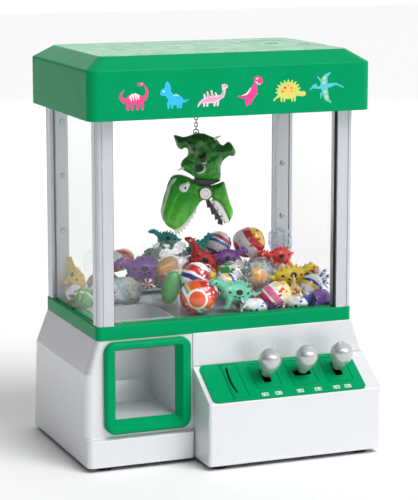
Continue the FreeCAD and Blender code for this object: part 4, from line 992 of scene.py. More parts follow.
def jaw_face():
    """Eyes, nostril rims and the teeth on both sides of the upper jaw."""
    for sign, side in ((-1, "front"), (1, "back")):
        forms = Forms()
        ball(forms, on_claw(-10.9, sign * 11.6, 239.0), (4.7 * MM, 2.1 * MM, 4.5 * MM), CLAW_TURN)
        ball(forms, on_claw(-8.6, sign * 11.2, 241.6), (3.1 * MM, 1.9 * MM, 2.8 * MM), CLAW_TURN)
        ball(forms, on_claw(-7.2, sign * 11.0, 243.2), (1.3 * MM, 1.3 * MM, 1.9 * MM), CLAW_TURN)
        settle(fused("eye_white_" + side, forms, 0.4 * MM, M["tooth"], 5), "upper_jaw", "tooth_white")
        forms = Forms()
        ball(forms, on_claw(-10.0, sign * 13.1, 239.2), (1.5 * MM, 0.75 * MM, 1.6 * MM), CLAW_TURN)
        settle(fused("eye_pupil_" + side, forms, 0.22 * MM, M["pupil"], 3), "upper_jaw", "black_plastic")
        ring = bead_ring(-23.2, sign * 11.2, 214.4, 3.0, 2.7, 0.9, 26)
        beads("nostril_" + side, ring, 0.35, M["nostril"], "upper_jaw", "claw_green", 4)
        upper_teeth(sign, side)
        painted_jaw_highlight(sign, side)


LOWER_SHELL = [(12.4, 229.4), (12.6, 234.0), (13.6, 240.0), (17.0, 240.6), (21.6, 242.2), (25.4, 244.2),
               (26.8, 241.6), (28.0, 236.6), (29.4, 230.4), (31.4, 224.0), (33.6, 218.2), (34.6, 214.0),
               (33.4, 210.0), (31.6, 206.6), (30.4, 205.2), (30.0, 208.4), (28.0, 213.4), (25.4, 218.8),
               (22.4, 223.2), (19.2, 226.0), (15.6, 227.2)]
GUM = [(13.2, 225.8), (16.2, 227.6), (19.6, 227.0), (23.4, 223.4), (26.4, 218.6), (29.0, 213.0),
       (31.0, 208.0), (30.8, 205.2), (28.0, 205.6), (25.4, 203.6), (25.6, 207.4), (20.8, 209.6),
       (23.8, 213.2), (17.4, 215.4), (20.0, 218.8), (14.2, 221.4), (16.4, 223.8)]


def lower_jaw_pieces():
    def relief(u, z, side):
        ridge = 0.9 * math.exp(-((u - 26.0 + 0.30 * (z - 225)) / 2.2) ** 2)
        return ridge + 0.5 * noise.noise(Vector((u * 0.25, z * 0.25, side)))

    skin = claw_skin("lower_jaw_green", MID_GREEN, LIME, PIVOT.z - 0.022, PIVOT.z + 0.006)
    shell = pillow("lower_jaw_shell", smooth_outline(LOWER_SHELL), 7.6, 5.0, on_claw, skin, 0.7, relief)
    paint_spots(shell, lambda co: 0.0)
    settle(shell, "lower_jaw", "claw_green", "lower_jaw")
    gum = pillow("lower_gum", smooth_outline(GUM, 1), 8.7, 1.6, on_claw, M["tooth"], 0.55)
    settle(gum, "lower_jaw", "tooth_white", "lower_teeth")


M["pupil"] = plastic("pupil_black", srgb(36, 14, 52), rough=0.12, coat=1.0)
# the pale glossy colour of the painted highlight streak beside the snout's crest
M["sheen"] = plastic("pale_sheen", srgb(196, 224, 190), rough=0.12, coat=1.0, cloud=0.12)
M["nostril"] = claw_skin("nostril_green", DARK_GREEN, LIME, PIVOT.z - 0.026, PIVOT.z - 0.014)
claw_cover()
claw_fittings()
upper_jaw_shell()
jaw_face()
lower_jaw_pieces()


# ---------------------------------------------------------------- prints on the roof and console
def paint(name, colour):
    return plastic(name, colour, rough=0.3, cloud=0.05, coat=0.3, grain_size=0.0006, grain_depth=0.000006)


def on_roof_front(a, b, height):
    return Vector((a * MM, FRONT_Y - height * MM, b * MM))


PRINT_THICK = 0.12
PRINT_SUNK = 0.04
CREAM = srgb(250, 240, 235)

# Each print is drawn in mm from its own low left corner. A tuple is an oval (x, z, half width, half height,
# lean) and a list is a tapering stroke of (x, z, radius) stations.
# a long-necked beast with its tail curled up and four legs, then its striped back
LONG_NECK = [
    (13.2, 9.6, 7.0, 4.6), (8.4, 8.2, 4.2, 3.0),
    [(3.8, 17.4, 0.3), (1.2, 14.6, 0.9), (0.7, 11.0, 1.6), (3.4, 8.0, 2.0), (8.0, 7.6, 2.8)],
    [(18.0, 8.4, 2.8), (22.0, 9.6, 2.2), (24.4, 12.6, 1.4), (24.6, 16.2, 1.1), (23.2, 19.8, 0.7),
     (20.8, 22.0, 0.7)],
    (18.6, 21.9, 2.8, 1.6, 8),
    *[[(at, 6.0, 1.7), (at + lean, 0.9, 1.2)] for at, lean in ((7.6, -0.7), (11.0, 0.3), (16.4, -0.6),
                                                               (20.0, 0.5))]]
LONG_NECK_STRIPES = [
    *[[(at, high, 0.95), (at + lean, low, 0.35)]
      for at, high, lean, low in ((9.4, 11.4, 0.9, 8.0), (11.6, 12.4, 0.9, 8.4), (14.0, 12.4, 0.9, 8.8),
                                  (16.4, 11.4, 0.7, 9.2))],
    [(8.6, 11.0, 0.5), (11.0, 13.4, 0.6), (14.0, 13.9, 0.6), (17.4, 12.0, 0.5)],
    (20.0, 22.4, 0.9, 0.5)]
# a blue beast with an upright crest over its head
HORNED = [
    (13.6, 7.4, 6.2, 4.6), (17.0, 7.0, 4.4, 3.8), (4.6, 14.6, 4.2, 3.2, -12), (2.4, 13.2, 2.4, 1.8, -10),
    (7.2, 18.0, 2.9, 5.4, 8), (6.6, 21.4, 1.2, 2.4, 0),
    [(7.0, 14.0, 3.0), (10.4, 9.6, 3.4)],
    [(19.6, 6.6, 2.0), (23.4, 6.0, 1.0), (26.4, 7.4, 0.4)],
    *[[(at, 4.6, 1.5), (at, 0.9, 1.1)] for at in (7.8, 11.2, 16.4, 19.2)]]
HORNED_MARKS = [(3.4, 15.2, 1.0, 0.9), [(12.4, 11.0, 0.3), (14.6, 12.2, 0.5), (17.4, 11.0, 0.35)]]
# a pink plated beast, head raised at the right
PLATED = [
    (13.6, 6.2, 7.8, 3.0, 6),
    [(0.8, 0.7, 0.5), (3.0, 4.0, 1.0), (7.6, 6.0, 2.2)],
    [(19.6, 7.2, 2.2), (24.0, 9.0, 1.6), (25.4, 13.0, 1.4), (25.2, 16.4, 1.8)],
    (26.0, 17.4, 3.0, 2.0, -14),
    *[[(at + 1.2, 6.6, 1.4), (at - 0.4, 7.4 + tall, 0.75)]
      for at, tall in ((7.0, 3.4), (10.0, 5.4), (13.8, 6.4), (17.8, 4.4))],
    *[[(at, 4.4, 1.2), (at - 0.3, 1.0, 0.9)] for at in (6.8, 9.8, 16.6, 19.6)]]
PLATED_FILL = [
    (13.6, 6.2, 6.6, 2.0, 6), (25.8, 17.6, 1.7, 1.0),
    [(3.4, 3.8, 0.4), (8.0, 5.8, 1.2)],
    [(20.2, 7.4, 1.2), (24.2, 9.6, 0.8), (25.4, 14.0, 0.7)],
    [(11.2, 7.4, 0.8), (10.0, 11.4, 0.4)],
    [(15.0, 7.8, 0.8), (13.6, 12.4, 0.4)]]
# an upright hunter with a striped back
UPRIGHT = [
    (14.2, 11.4, 4.2, 5.6, -24), (11.4, 8.0, 4.2, 3.6),
    [(0.6, 9.0, 0.4), (5.0, 8.4, 1.4), (9.6, 9.0, 3.0)],
    [(15.6, 14.6, 3.0), (17.2, 19.0, 1.7), (18.2, 22.4, 2.2)],
    (19.8, 23.2, 4.0, 2.9, -18), (21.8, 21.4, 2.6, 1.9, -22),
    [(10.0, 6.6, 2.4), (9.2, 3.6, 1.8), (8.8, 0.9, 0.9)],
    [(13.4, 7.0, 2.0), (12.6, 3.8, 1.4), (11.8, 2.2, 1.1)],
    [(16.6, 12.0, 0.9), (19.0, 10.4, 0.5)]]
UPRIGHT_MARKS = [
    [(4.6, 9.6, 0.3), (8.8, 10.8, 0.7), (11.2, 13.6, 0.6), (12.6, 16.0, 0.3)],
    [(17.4, 21.6, 0.35), (19.4, 19.4, 0.5), (22.0, 18.9, 0.3)],
    (18.8, 24.0, 1.2, 0.7, 12)]
# a yellow dome-backed beast with a fringe of small plates
DOME_FRINGE = [math.radians(-4 + 188 * i / 10) for i in range(11)]
DOME = [
    (14.6, 8.6, 9.6, 7.4), (14.6, 5.4, 10.4, 3.0),
    *[[(14.6 + 9.4 * math.cos(a), 8.0 + 7.4 * math.sin(a), 1.2),
       (14.6 + 11.8 * math.cos(a), 8.0 + 10.0 * math.sin(a), 0.6)] for a in DOME_FRINGE],
    [(22.4, 5.4, 1.6), (27.0, 5.0, 1.6)],
    (28.8, 5.4, 3.0, 2.3),
    [(6.4, 4.6, 1.4), (3.0, 2.8, 0.8), (0.9, 0.6, 0.7)],
    *[[(at, 4.0, 1.1), (at, -0.4, 0.8)] for at in (8.0, 10.8, 18.4, 21.0)]]
DOME_FILL = [(14.2, 9.6, 7.2, 5.0), (28.8, 5.4, 1.9, 1.4)]
DOME_DOTS = [(11.4, 11.4, 1.2, 1.1), (17.6, 11.0, 0.8, 0.8), (9.2, 8.2, 0.9, 0.8), (14.6, 13.2, 0.6, 0.5),
             (18.0, 8.0, 0.6, 0.5)]
# a blue flyer, beak to the left, wings up and down
FLYER = [
    [(0.8, 12.4, 0.3), (4.6, 15.6, 1.4), (7.0, 17.0, 0.8)],
    [(5.6, 14.8, 1.2), (9.6, 14.2, 1.0), (13.6, 14.8, 2.2), (19.6, 15.8, 1.9), (26.4, 17.0, 0.9),
     (33.6, 13.8, 0.5)],
    [(14.2, 15.0, 3.2), (14.8, 20.0, 3.4), (16.0, 24.0, 2.0), (21.0, 27.4, 0.4)],
    [(15.0, 14.0, 3.2), (16.2, 8.6, 3.0), (17.4, 4.0, 2.0), (22.0, 0.2, 0.4)],
    [(11.2, 20.6, 1.0), (8.2, 24.2, 0.4)],
    [(12.0, 9.0, 0.9), (11.6, 4.6, 0.4)]]
FLYER_FILL = [(14.8, 22.4, 1.8, 1.9), (14.4, 18.6, 1.7, 1.5), (16.0, 10.0, 1.8, 1.9), (17.4, 5.4, 1.9, 2.0)]

# where each beast's corner is, then its layers from the lowest up: the piece's name, its marks and its ink
ROOF_PRINTS = (
    (-106.0, 322.6, ("long_neck", LONG_NECK, srgb(236, 62, 140)),
     ("long_neck_stripes", LONG_NECK_STRIPES, CREAM)),
    (-69.4, 322.4, ("horned", HORNED, srgb(20, 190, 236)),
     ("horned_marks", HORNED_MARKS, srgb(190, 240, 252))),
    (-35.0, 322.6, ("plated", PLATED, srgb(246, 214, 230)),
     ("plated_fill", PLATED_FILL, srgb(250, 160, 200))),
    (3.0, 321.6, ("upright", UPRIGHT, srgb(248, 52, 148)), ("upright_marks", UPRIGHT_MARKS, CREAM)),
    (37.2, 325.2, ("dome", DOME, srgb(210, 224, 104)), ("dome_fill", DOME_FILL, srgb(246, 206, 104)),
     ("dome_dots", DOME_DOTS, srgb(176, 52, 30))),
    (72.0, 321.2, ("flyer", FLYER, srgb(76, 202, 224)), ("flyer_fill", FLYER_FILL, srgb(206, 218, 116))),
)


def drawn(x, z, marks):
    """The flat outlines of a print whose corner is at (x, z)."""
    shapes = []
    for mark in marks:
        if isinstance(mark, list):
            shapes += stroke([(x + a, z + b, r) for a, b, r in mark])
        else:
            shapes.append(oval(x + mark[0], z + mark[1], *mark[2:]))
    return shapes


def roof_prints():
    for x, z, *layers in ROOF_PRINTS:
        for layer, (word, marks, ink) in enumerate(layers):
            name = "print_" + word
            plate = print_plate(name, drawn(x, z, marks), PRINT_THICK, on_roof_front,
                                paint(name + "_ink", ink), layer * PRINT_THICK * 0.8 - PRINT_SUNK)
            settle(plate, "cabinet", "green_plastic")


def console_plane():
    """The middle of the sloping plate's outer face at its front edge, its way up and its way out."""
    plate = NODES["control_plate"]
    turn = plate.matrix_world
    areas = {}
    for face in plate.data.polygons:
        out = (turn.to_3x3() @ face.normal).normalized()
        if out.y < -0.2 and out.z > 0.2 and abs(out.x) < 0.05:
            key = (round(out.y, 2), round(out.z, 2))
            areas.setdefault(key, []).append(face)
    faces = max(areas.values(), key=lambda group: sum(f.area for f in group))
    points = [turn @ plate.data.vertices[i].co for f in faces for i in f.vertices]
    foot = min(points, key=lambda p: p.z)
    out = sum((turn.to_3x3() @ f.normal * f.area for f in faces), Vector()).normalized()
    return Vector((0, foot.y, foot.z)), out.cross(X_AXIS).normalized(), out


def on_console(x, s, height):
    """A place on the sloping control plate: x along it, s mm up the slope from its front edge."""
    return PLATE_FOOT + Vector((x * MM, 0, 0)) + (PLATE_UP * s + PLATE_OUT * height) * MM


def console_prints():
    for number, (left, right) in enumerate(CONSOLE_MARKS):
        shapes = []
        for x, facing in ((left, -1), (right, 1)):
            shapes += stroke([(x - 2.8, 6.1, 0.3), (x + 2.8, 6.1, 0.3), (x + 2.8, 2.9, 0.3),
                              (x - 2.8, 2.9, 0.3), (x - 2.8, 6.1, 0.3)])
            shapes += stroke([(x - 1.6 * facing, 4.5, 0.3), (x + 1.6 * facing, 4.5, 0.3)])
            shapes += stroke([(x + 0.5 * facing, 5.4, 0.3), (x + 1.6 * facing, 4.5, 0.3),
                              (x + 0.5 * facing, 3.6, 0.3)])
        plate = print_plate("console_marks_%d" % (number + 1), shapes, PRINT_THICK, on_console,
                            paint("mark_white_%d" % (number + 1), srgb(236, 242, 238)), -PRINT_SUNK)
        settle(plate, "cabinet", "green_plastic")


PLATE_FOOT, PLATE_UP, PLATE_OUT = console_plane()
CONSOLE_MARKS = ((21.7, 34.8), (56.1, 73.7), (92.1, 103.4))
roof_prints()
console_prints()


# ---------------------------------------------------------------- prizes
def lay(obj, place, turn):
    """Put a piece that was made about its own middle at its place in the cabin, and keep that origin."""
    obj.matrix_world = Matrix.Translation(Vector(place) * MM) @ turn
    bpy.context.view_layer.update()
    return obj


def turned(heading, pitch=0.0, roll=0.0):
    """A heading about Z, then nose up by pitch, then rolled towards the viewer, in degrees."""
    return (Matrix.Rotation(math.radians(heading), 4, "Z") @ Matrix.Rotation(math.radians(-pitch), 4, "Y")
            @ Matrix.Rotation(math.radians(roll), 4, "X"))


# the dark spots on a toy's flanks, as (x, z, radius)
TOY_SPOTS = ((0.5, 5.0, 3.3), (-4.2, 1.0, 1.2), (0.0, 0.2, 1.4), (4.4, 1.0, 1.2), (-10.5, 3.0, 1.5),
             (10.0, 4.0, 1.4))


def toy_crest(forms, mm, head, tail, crest):
    """A row of scallops or spikes from the tail over the back to the head."""
    count = 9
    for i in range(count):
        t = i / (count - 1)
        x = -22 * tail + (head.x + 2 + 22 * tail) * t
        if x < -11:
            z = -2.0 + (x + 22 * tail) / max(1.0, 22 * tail - 11) * 5.2 + 1.0
        elif x < 10:
            z = 9.6 * math.sqrt(max(0.0, 1 - (x / 15.5) ** 2)) + 0.2
        else:
            z = 6.0 + (x - 10) / (head.x - 8) * (head.z - 2.6)
        swell = 1.0 - abs(t - 0.5) * 0.9
        if crest == "scallop":
            ball(forms, mm(x, 0, z + 0.9), mm(2.9 * swell + 0.6, 1.5, 3.7 * swell + 0.8))
        elif crest == "spike":
            limb(forms, [mm(x, 0, z - 0.6, 2.3 * swell), mm(x - 1.8, 0, z + 5.2 * swell, 0.7)])

def toy_body(forms, mm, head, neck, tail):
    ball(forms, mm(0, 0, 0), mm(14.0, 9.4, 9.8))
    ball(forms, mm(-7, 0, -1), mm(10.0, 7.6, 7.8))
    ball(forms, mm(7.5, 0, 0.5), mm(9.0, 7.2, 7.8))
    limb(forms, [mm(10, 0, 1.5, 5.4), mm(15, 0, 3 + 3.0 * neck, 3.9), mm(*head, 3.7)])
    ball(forms, mm(head.x + 3.4, 0, head.z + 0.4), mm(5.4, 3.9, 3.6))
    ball(forms, mm(head.x + 7.4, 0, head.z - 0.6), mm(3.0, 2.9, 2.3))
    limb(forms, [mm(-11, 0, -2, 5.6), mm(-18 * tail, 0, -3.4, 3.6), mm(-25 * tail, 0.8, -1.6, 2.1),
              mm(-30 * tail, 1.6, 1.8, 1.0)])
    for x in (-8.0, 8.5):
        for y in (-1, 1):
            limb(forms, [mm(x, 5.2 * y, -3.4, 3.9), mm(x + 0.6, 7.2 * y, -8.6, 3.1),
                      mm(x + 1.6, 7.8 * y, -11.4, 3.0)])
            ball(forms, mm(x + 2.4, 8.0 * y, -12.4), mm(3.6, 2.9, 1.8))

def toy_dinosaur(name, colour, place, turn, size, neck, tail, crest, accent=None):
    """A soft toy beast, nose along +X: fat body, neck, tail, four legs, a row of crests, dark spots."""
    def mm(*values):
        return tuple(v * size * MM for v in values)

    forms = Forms()
    head = Vector((15 + 8 * neck, 0.0, 4 + 7.5 * neck))
    toy_body(forms, mm, head, neck, tail)
    toy_crest(forms, mm, head, tail, crest)
    toy = fused(name, forms, 0.62 * size * MM, toy_skin(name + "_rubber", colour), 4)

    def mark(co):
        x, y, z = (v / (size * MM) for v in co)
        best = 0.0
        for sx, sz, sr in TOY_SPOTS:
            if abs(y) > 1.6:
                best = max(best, 1 - 0.5 * math.hypot((x - sx) * 0.85, (z - sz) * 1.35) / sr)
        eye = math.dist((x, abs(y), z), (head.x + 4.4, 3.7, head.z + 1.7))
        best = max(best, 1 - 0.5 * eye / 1.25)
        nostril = math.dist((x, abs(y), z), (head.x + 9.4, 1.4, head.z + 0.2))
        return max(best, 1 - 0.5 * nostril / 0.7)

    paint_spots(toy, mark)
    lay(toy, place, turn)
    settle(toy, "cabinet", "toy_rubber")
    if accent is not None:
        forms = Forms()
        for y in (-1, 1):
            ball(forms, mm(head.x + 4.6, 3.3 * y, head.z + 1.8), mm(1.5, 0.9, 1.6))
        eyes = fused(name + "_eyes", forms, 0.28 * MM, paint(name + "_eye", accent), 3)
        lay(eyes, place, turn)
        settle(eyes, "cabinet", "toy_rubber")
    return toy


def sweet_skin(name, radii, frills, material, seed, crumple, fold=9):
    """A wrapped sweet as one skin round its long axis X: a body, then pinched necks and flared, pleated ends.

    radii is the body's half length and two half widths; frills is the ends' (length, flare), or None."""
    half, wide, tall = radii
    stations = []
    count = 22
    for i in range(count + 1):
        a = math.pi * i / count
        stations.append((-half * math.cos(a), max(0.0, math.sin(a)) ** 0.75, 0.0))
    if frills:
        length, flare = frills
        pinch = 0.22
        body = [(x, r, 0.0) for x, r, _ in stations if r > pinch]
        first = body[0][0]
        last = body[-1][0]
        shares = (0.08, 0.22, 0.4, 0.6, 0.8, 1)
        flares = [(t, pinch + (flare - pinch) * t ** 1.4) for t in shares]
        left = [(first - length * t, r, t) for t, r in reversed(flares)]
        right = [(last + length * t, r, t) for t, r in flares]
        stations = left + body + right
    around = 56
    verts = []
    for x, r, ruffle in stations:
        for k in range(around):
            a = 2 * math.pi * k / around
            pleat = 1 + ruffle * 0.34 * math.sin(fold * a + seed)
            lump = Vector((x / MM * 0.22 + seed * 7, math.cos(a) * 1.8, math.sin(a) * 1.8))
            rough = 1 + crumple * noise.noise(lump)
            tuck = 1 + 0.05 * (1 - min(1.0, r)) * math.sin(fold * a)
            wave = ruffle * 0.10 * half * math.sin(3 * a + seed * 2)
            verts.append(((x + wave), wide * r * math.cos(a) * pleat * rough * tuck,
                          tall * r * math.sin(a) * pleat * rough * tuck))
    return mesh_piece(name, verts, ring_faces(len(stations), around), material)


def sweet(name, material, place, radii, turn, seed, crumple=0.1, frills=None):
    r = tuple(v * MM for v in radii)
    ends = (frills[0] * MM, frills[1]) if frills else None
    obj = sweet_skin(name, r, ends, material, seed, crumple)
    lay(obj, place, turn)
    return settle(obj, "cabinet", "candy_wrap")


def crumpled_bag(name, material, place, radii, turn, seed):
    """A loosely filled bag: a flattened cushion with deep folds."""
    bm = bmesh.new()
    bmesh.ops.create_icosphere(bm, subdivisions=5, radius=1.0)
    for v in bm.verts:
        p = v.co.copy()
        square = Vector((math.copysign(abs(p.x) ** 0.7, p.x), p.y, math.copysign(abs(p.z) ** 0.7, p.z)))
        folds = 0.16 * noise.noise(square * 2.3 + Vector((seed, 0, 0))) + 0.07 * noise.noise(square * 6)
        ridge = 0.05 * abs(noise.noise(square * 4 + Vector((0, seed, 0))))
        q = square * (1 + folds + ridge)
        v.co = Vector((q.x * radii[0], q.y * radii[1], q.z * radii[2])) * MM
    obj = lay(bm_piece(name, bm, material), place, turn)
    return settle(obj, "cabinet", "candy_wrap")


PURPLE = srgb(142, 84, 176)
TEAL = srgb(32, 170, 168)
RED = srgb(224, 54, 52)
YELLOW = srgb(240, 206, 60)
MINT = srgb(112, 200, 166)
CORAL = srgb(236, 96, 110)
PALE = srgb(240, 230, 230)
RUST = srgb(206, 80, 40)
# name, colour, place, turn, size, neck, tail, crest, eye colour
TOYS = (
    ("purple_left", PURPLE, (-43, 45, 158), (174, 0, -22), 0.98, 0.55, 0.9, "scallop", CORAL),
    ("teal_spiked", TEAL, (-9, 69, 181), (165, 6, -25), 0.62, 0.8, 0.7, "spike", None),
    ("teal_scalloped", TEAL, (20, 68, 170), (-12, 20, 20), 0.62, 1.0, 1.2, "scallop", None),
    ("red_middle", RED, (20, 50, 161), (172, 34, -24), 0.86, 1.0, 1.0, "spike", PALE),
    ("purple_middle", PURPLE, (44, 57, 160), (6, -2, 28), 0.80, 0.75, 0.8, "scallop", CORAL),
    ("red_right", RED, (102, 57, 158), (184, -8, -24), 0.80, 0.7, 0.62, "spike", PALE),
    ("yellow_right", YELLOW, (83, -10, 153), (4, -2, 24), 0.94, 0.6, 0.9, "spike", RUST),
    ("mint", MINT, (17, -38, 146.5), (186, 6, -22), 0.93, 0.95, 0.9, "scallop", None),
    ("yellow_left", YELLOW, (-104, 58, 152), (100, 20, 0), 0.72, 1.0, 0.9, "spike", RUST),
    ("green_small", srgb(90, 170, 80), (-26, 68, 166), (-40, 12, 10), 0.5, 0.9, 1.0, "scallop", None),
)
toys = [toy_dinosaur("dinosaur_" + name, colour, place, turned(*turn), size, neck, tail, crest, accent)
        for name, colour, place, turn, size, neck, tail, crest, accent in TOYS]

W = srgb(246, 246, 250)
NAVY = srgb(36, 52, 130)
ORANGE = srgb(240, 100, 36)
CRIMSON = srgb(214, 30, 44)
PINK = srgb(236, 108, 160)
AQUA = srgb(60, 180, 210)
GOLD = srgb(250, 206, 56)
LEAF = srgb(84, 186, 62)
SKY = srgb(70, 120, 206)
# half the pattern's width, where each band starts and its colour, the print, an oval panel and its rim
WRAPS = {
    "blue_red": (0.013, [(0, SKY), (0.18, W), (0.5, SKY), (0.62, W), (0.7, CRIMSON), (0.86, W)], NAVY),
    "many": (0.016, [(0, CRIMSON), (0.26, W), (0.66, CRIMSON), (0.9, GOLD)], CRIMSON),
    "orange": (0.016, [(0, CRIMSON), (0.16, ORANGE), (0.30, W), (0.40, AQUA), (0.48, GOLD), (0.56, ORANGE),
                       (0.9, CRIMSON)], W, srgb(244, 96, 40), W),
    "navy": (0.018, [(0, NAVY), (0.22, W), (0.40, NAVY), (0.54, W), (0.62, CRIMSON), (0.84, W)], W),
    "pink": (0.015, [(0, srgb(224, 50, 90)), (0.30, W), (0.38, PINK), (0.60, W),
                     (0.72, srgb(250, 224, 160))], CRIMSON),
    "sun": (0.011, [(0, W), (0.3, GOLD), (0.5, srgb(40, 80, 180)), (0.66, W)], srgb(40, 70, 170)),
    "green": (0.014, [(0, LEAF), (0.35, W), (0.45, srgb(60, 160, 60)), (0.8, W)], srgb(20, 110, 50)),
    "white": (0.012, [(0, W), (0.4, srgb(222, 228, 240)), (0.6, W), (0.85, NAVY)], srgb(60, 70, 120)),
    "brown": (0.012, [(0, srgb(150, 90, 50)), (0.4, W), (0.5, srgb(120, 60, 40)), (0.8, GOLD)], NAVY),
    "pale": (0.013, [(0, W), (0.35, srgb(206, 222, 236)), (0.7, srgb(236, 240, 226))],
             srgb(196, 176, 40)),
}
LOOKS = {name: wrap("wrap_" + name, *look) for name, look in WRAPS.items()}
LOOKS["swirl"] = swirl("swirl_red", CRIMSON, W)
LOOKS["film"] = clear_film("clear_film", srgb(226, 236, 244), 0.08)
LOOKS["film_blue"] = clear_film("clear_film_blue", srgb(190, 214, 240), 0.12)
for name, colour in (("green", (56, 176, 48)), ("amber", (240, 170, 40)), ("purple", (150, 100, 200))):
    LOOKS["gummy_" + name] = paint("gummy_" + name, srgb(*colour))

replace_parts(toys[0], "prize_dinosaurs")
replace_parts(sweet("sweet_blue_ball", LOOKS["blue_red"], (42, 68, 172), (13, 12.5, 12.5), turned(20, 30), 1.2,
                  0.06), "prize_candies")
# name, look, place, half sizes, turn, seed, then crumple and the ends' length and flare where they differ
SWEETS = (
    ("many_ball", "many", (74, 66, 172), (15.5, 14, 15), (-25, 15), 2.1, 0.06),
    ("orange_ball", "orange", (-19, -36, 145.5), (16.5, 15, 15.5), (-24, 12), 3.3, 0.05),
    ("navy", "navy", (-15, -19, 160), (14, 12, 12.5), (15, 34), 4.7),
    ("pink", "pink", (58, -36, 141), (15, 11, 12), (-10, 16), 5.2, 0.1, (6, 0.9)),
    ("sun", "sun", (101, -20, 143), (12, 10.5, 11.5), (30, 20), 6.4, 0.08, (6, 0.9)),
    ("purple", "gummy_purple", (103, -31, 133), (13, 10, 8.5), (15, 10), 7.1, 0.14),
    ("capsule", "gummy_green", (-35, -9, 150), (15.5, 7.5, 8.5), (10, 72), 1.9, 0.05),
    ("swirl", "swirl", (-46, 24, 148), (5.4, 4.2, 5.4), (-20,), 2.2, 0.03),
    ("amber_core", "gummy_amber", (50, -10, 154), (9.0, 8.5, 9.0), (0,), 1.1),
    ("clear_ball", "film", (50, -10, 154), (14, 13, 13.5), (30, 10), 3.0, 0.08, (7, 0.8)),
    ("orange_core", "gummy_amber", (-20, 44, 158), (13, 8, 9), (20, 20), 5.9),
    ("many_right", "green", (60, 14, 146), (13, 10, 11), (40, 10), 8.3, 0.1, (7, 0.9)),
    ("brown", "brown", (-80, 34, 139), (12, 10, 10), (-30, 10), 6.1),
    ("yellow_low", "sun", (-60, 34, 137), (12, 9, 10), (25, 5), 7.7),
    ("stripe_rear", "many", (-61, 60, 165), (15, 10, 10), (15, 14), 9.2),
    ("left_print", "many", (-106, 54, 138), (11, 10, 10), (80, 10), 3.6, 0.1, (7, 0.9)),
    ("left_green", "green", (-106, 31, 137), (11, 10.5, 11), (60,), 1.4, 0.1, (6, 0.8)),
    ("white_front", "white", (36, -42, 134), (13, 8, 7), (10, -8), 2.6, 0.12, (5, 0.9)),
    ("white_right", "white", (78, -42, 135), (11, 8, 7), (-14, 6), 5.5, 0.12, (5, 0.9)),
    ("aqua_edge", "blue_red", (-4, -14, 141), (14, 12, 12), (30, 12), 3.9),
    ("green_mid", "green", (27, -2, 155), (13, 9, 10), (-30, 24), 6.9, 0.1, (6, 0.9)),
    ("gold_mid", "sun", (21, -12, 151), (12, 9, 9), (10, -14), 8.8),
    ("red_low", "many", (6, 14, 146), (15, 12, 12), (-20, 14), 4.1),
    ("blue_low", "blue_red", (34, 16, 146), (15, 12, 12), (24, 8), 5.4),
    ("navy_low", "navy", (84, 10, 143), (14, 12, 12), (-34, 6), 7.9),
    ("pink_low", "pink", (-14, 34, 146), (15, 13, 12), (14, 4), 2.9),
    ("orange_low", "orange", (14, 38, 148), (14, 12, 12), (-14, 8), 6.6),
    ("green_low", "green", (42, 40, 148), (15, 12, 12), (34, 4), 1.6),
    ("red_rear", "many", (72, 40, 145), (15, 13, 12), (-8, 12), 3.1),
    ("sun_rear", "sun", (108, 36, 140), (11, 12, 11), (0, 8), 4.9),
    ("blue_rear", "blue_red", (-40, 62, 144), (15, 12, 12), (10, 10), 8.1),
    ("gold_rear", "green", (-12, 66, 145), (14, 12, 13), (-20, 4), 9.7),
    ("pink_rear", "pink", (20, 68, 146), (15, 12, 14), (16, 10), 2.4),
    ("navy_rear", "navy", (54, 70, 148), (15, 11, 14), (-10, 0), 3.7),
    ("white_rear", "white", (88, 68, 146), (15, 12, 14), (12, 6), 5.7),
    ("red_corner", "many", (108, 64, 144), (10, 12, 13), (0, 10), 6.3),
    ("brown_rear", "brown", (-76, 66, 142), (16, 12, 13), (10, 6), 1.8),
)
for name, look, place, half, turn, *rest in SWEETS:
    sweet("sweet_" + name, LOOKS[look], place, half, turned(*turn), *rest)

# name, look, place, half sizes, turn, seed
BAGS = (
    ("clear_middle", "film", (-11, 60, 165), (19, 12, 15), (10, 0, -10), 1.3),
    ("blue_right", "film_blue", (107, 66, 172), (11, 9, 11), (-20, 8), 2.7),
    ("clear_right", "film_blue", (60, 8, 151), (16, 11, 10), (15, 0, -8), 3.9),
    ("pale_guard", "pale", (-68, 34, 141), (17, 12, 12), (5,), 4.4),
    ("clear_rear", "film", (58, 27, 146), (12, 9, 9), (25,), 6.2),
)
for name, look, place, half, turn, seed in BAGS:
    crumpled_bag("bag_" + name, LOOKS[look], place, half, turned(*turn), seed)
sweet("sweet_edge", LOOKS["navy"], (109, -2, 148), (9, 9, 11), turned(10, 20), 5.8)


# ---------------------------------------------------------------- seals with painted shade, and a painted highlight bead
def bar(name, low, high, radius, material, body="cabinet", slot_name="black_rubber"):
    """A thin strip with rounded long edges between two corners, in mm."""
    low = Vector(low) * MM
    high = Vector(high) * MM
    bm = bmesh.new()
    bmesh.ops.create_cube(bm, size=1.0)
    for v in bm.verts:
        v.co = Vector([(low[i] + high[i]) / 2 + v.co[i] * (high[i] - low[i]) for i in range(3)])
    bmesh.ops.bevel(bm, geom=list(bm.edges), offset=radius * MM, segments=3, affect="EDGES", profile=0.5)
    return settle(bm_piece(name, bm, material, smooth=False), body, slot_name)


# the strips, in mm: how far they stop short of the panes at the bottom and the top, how thick they are, how
# wide on each side of the machine, how deep along the side panes, and how round
STRIP_GAP = 0.6
STRIP_TOP_GAP = 2.6
STRIP_THICK = 1.0
SEAL_AND_SHADE_WIDTH = {-1: 1.1, 1: 2.2}
STRIP_DEPTH = 1.6
STRIP_ROUND = 0.3


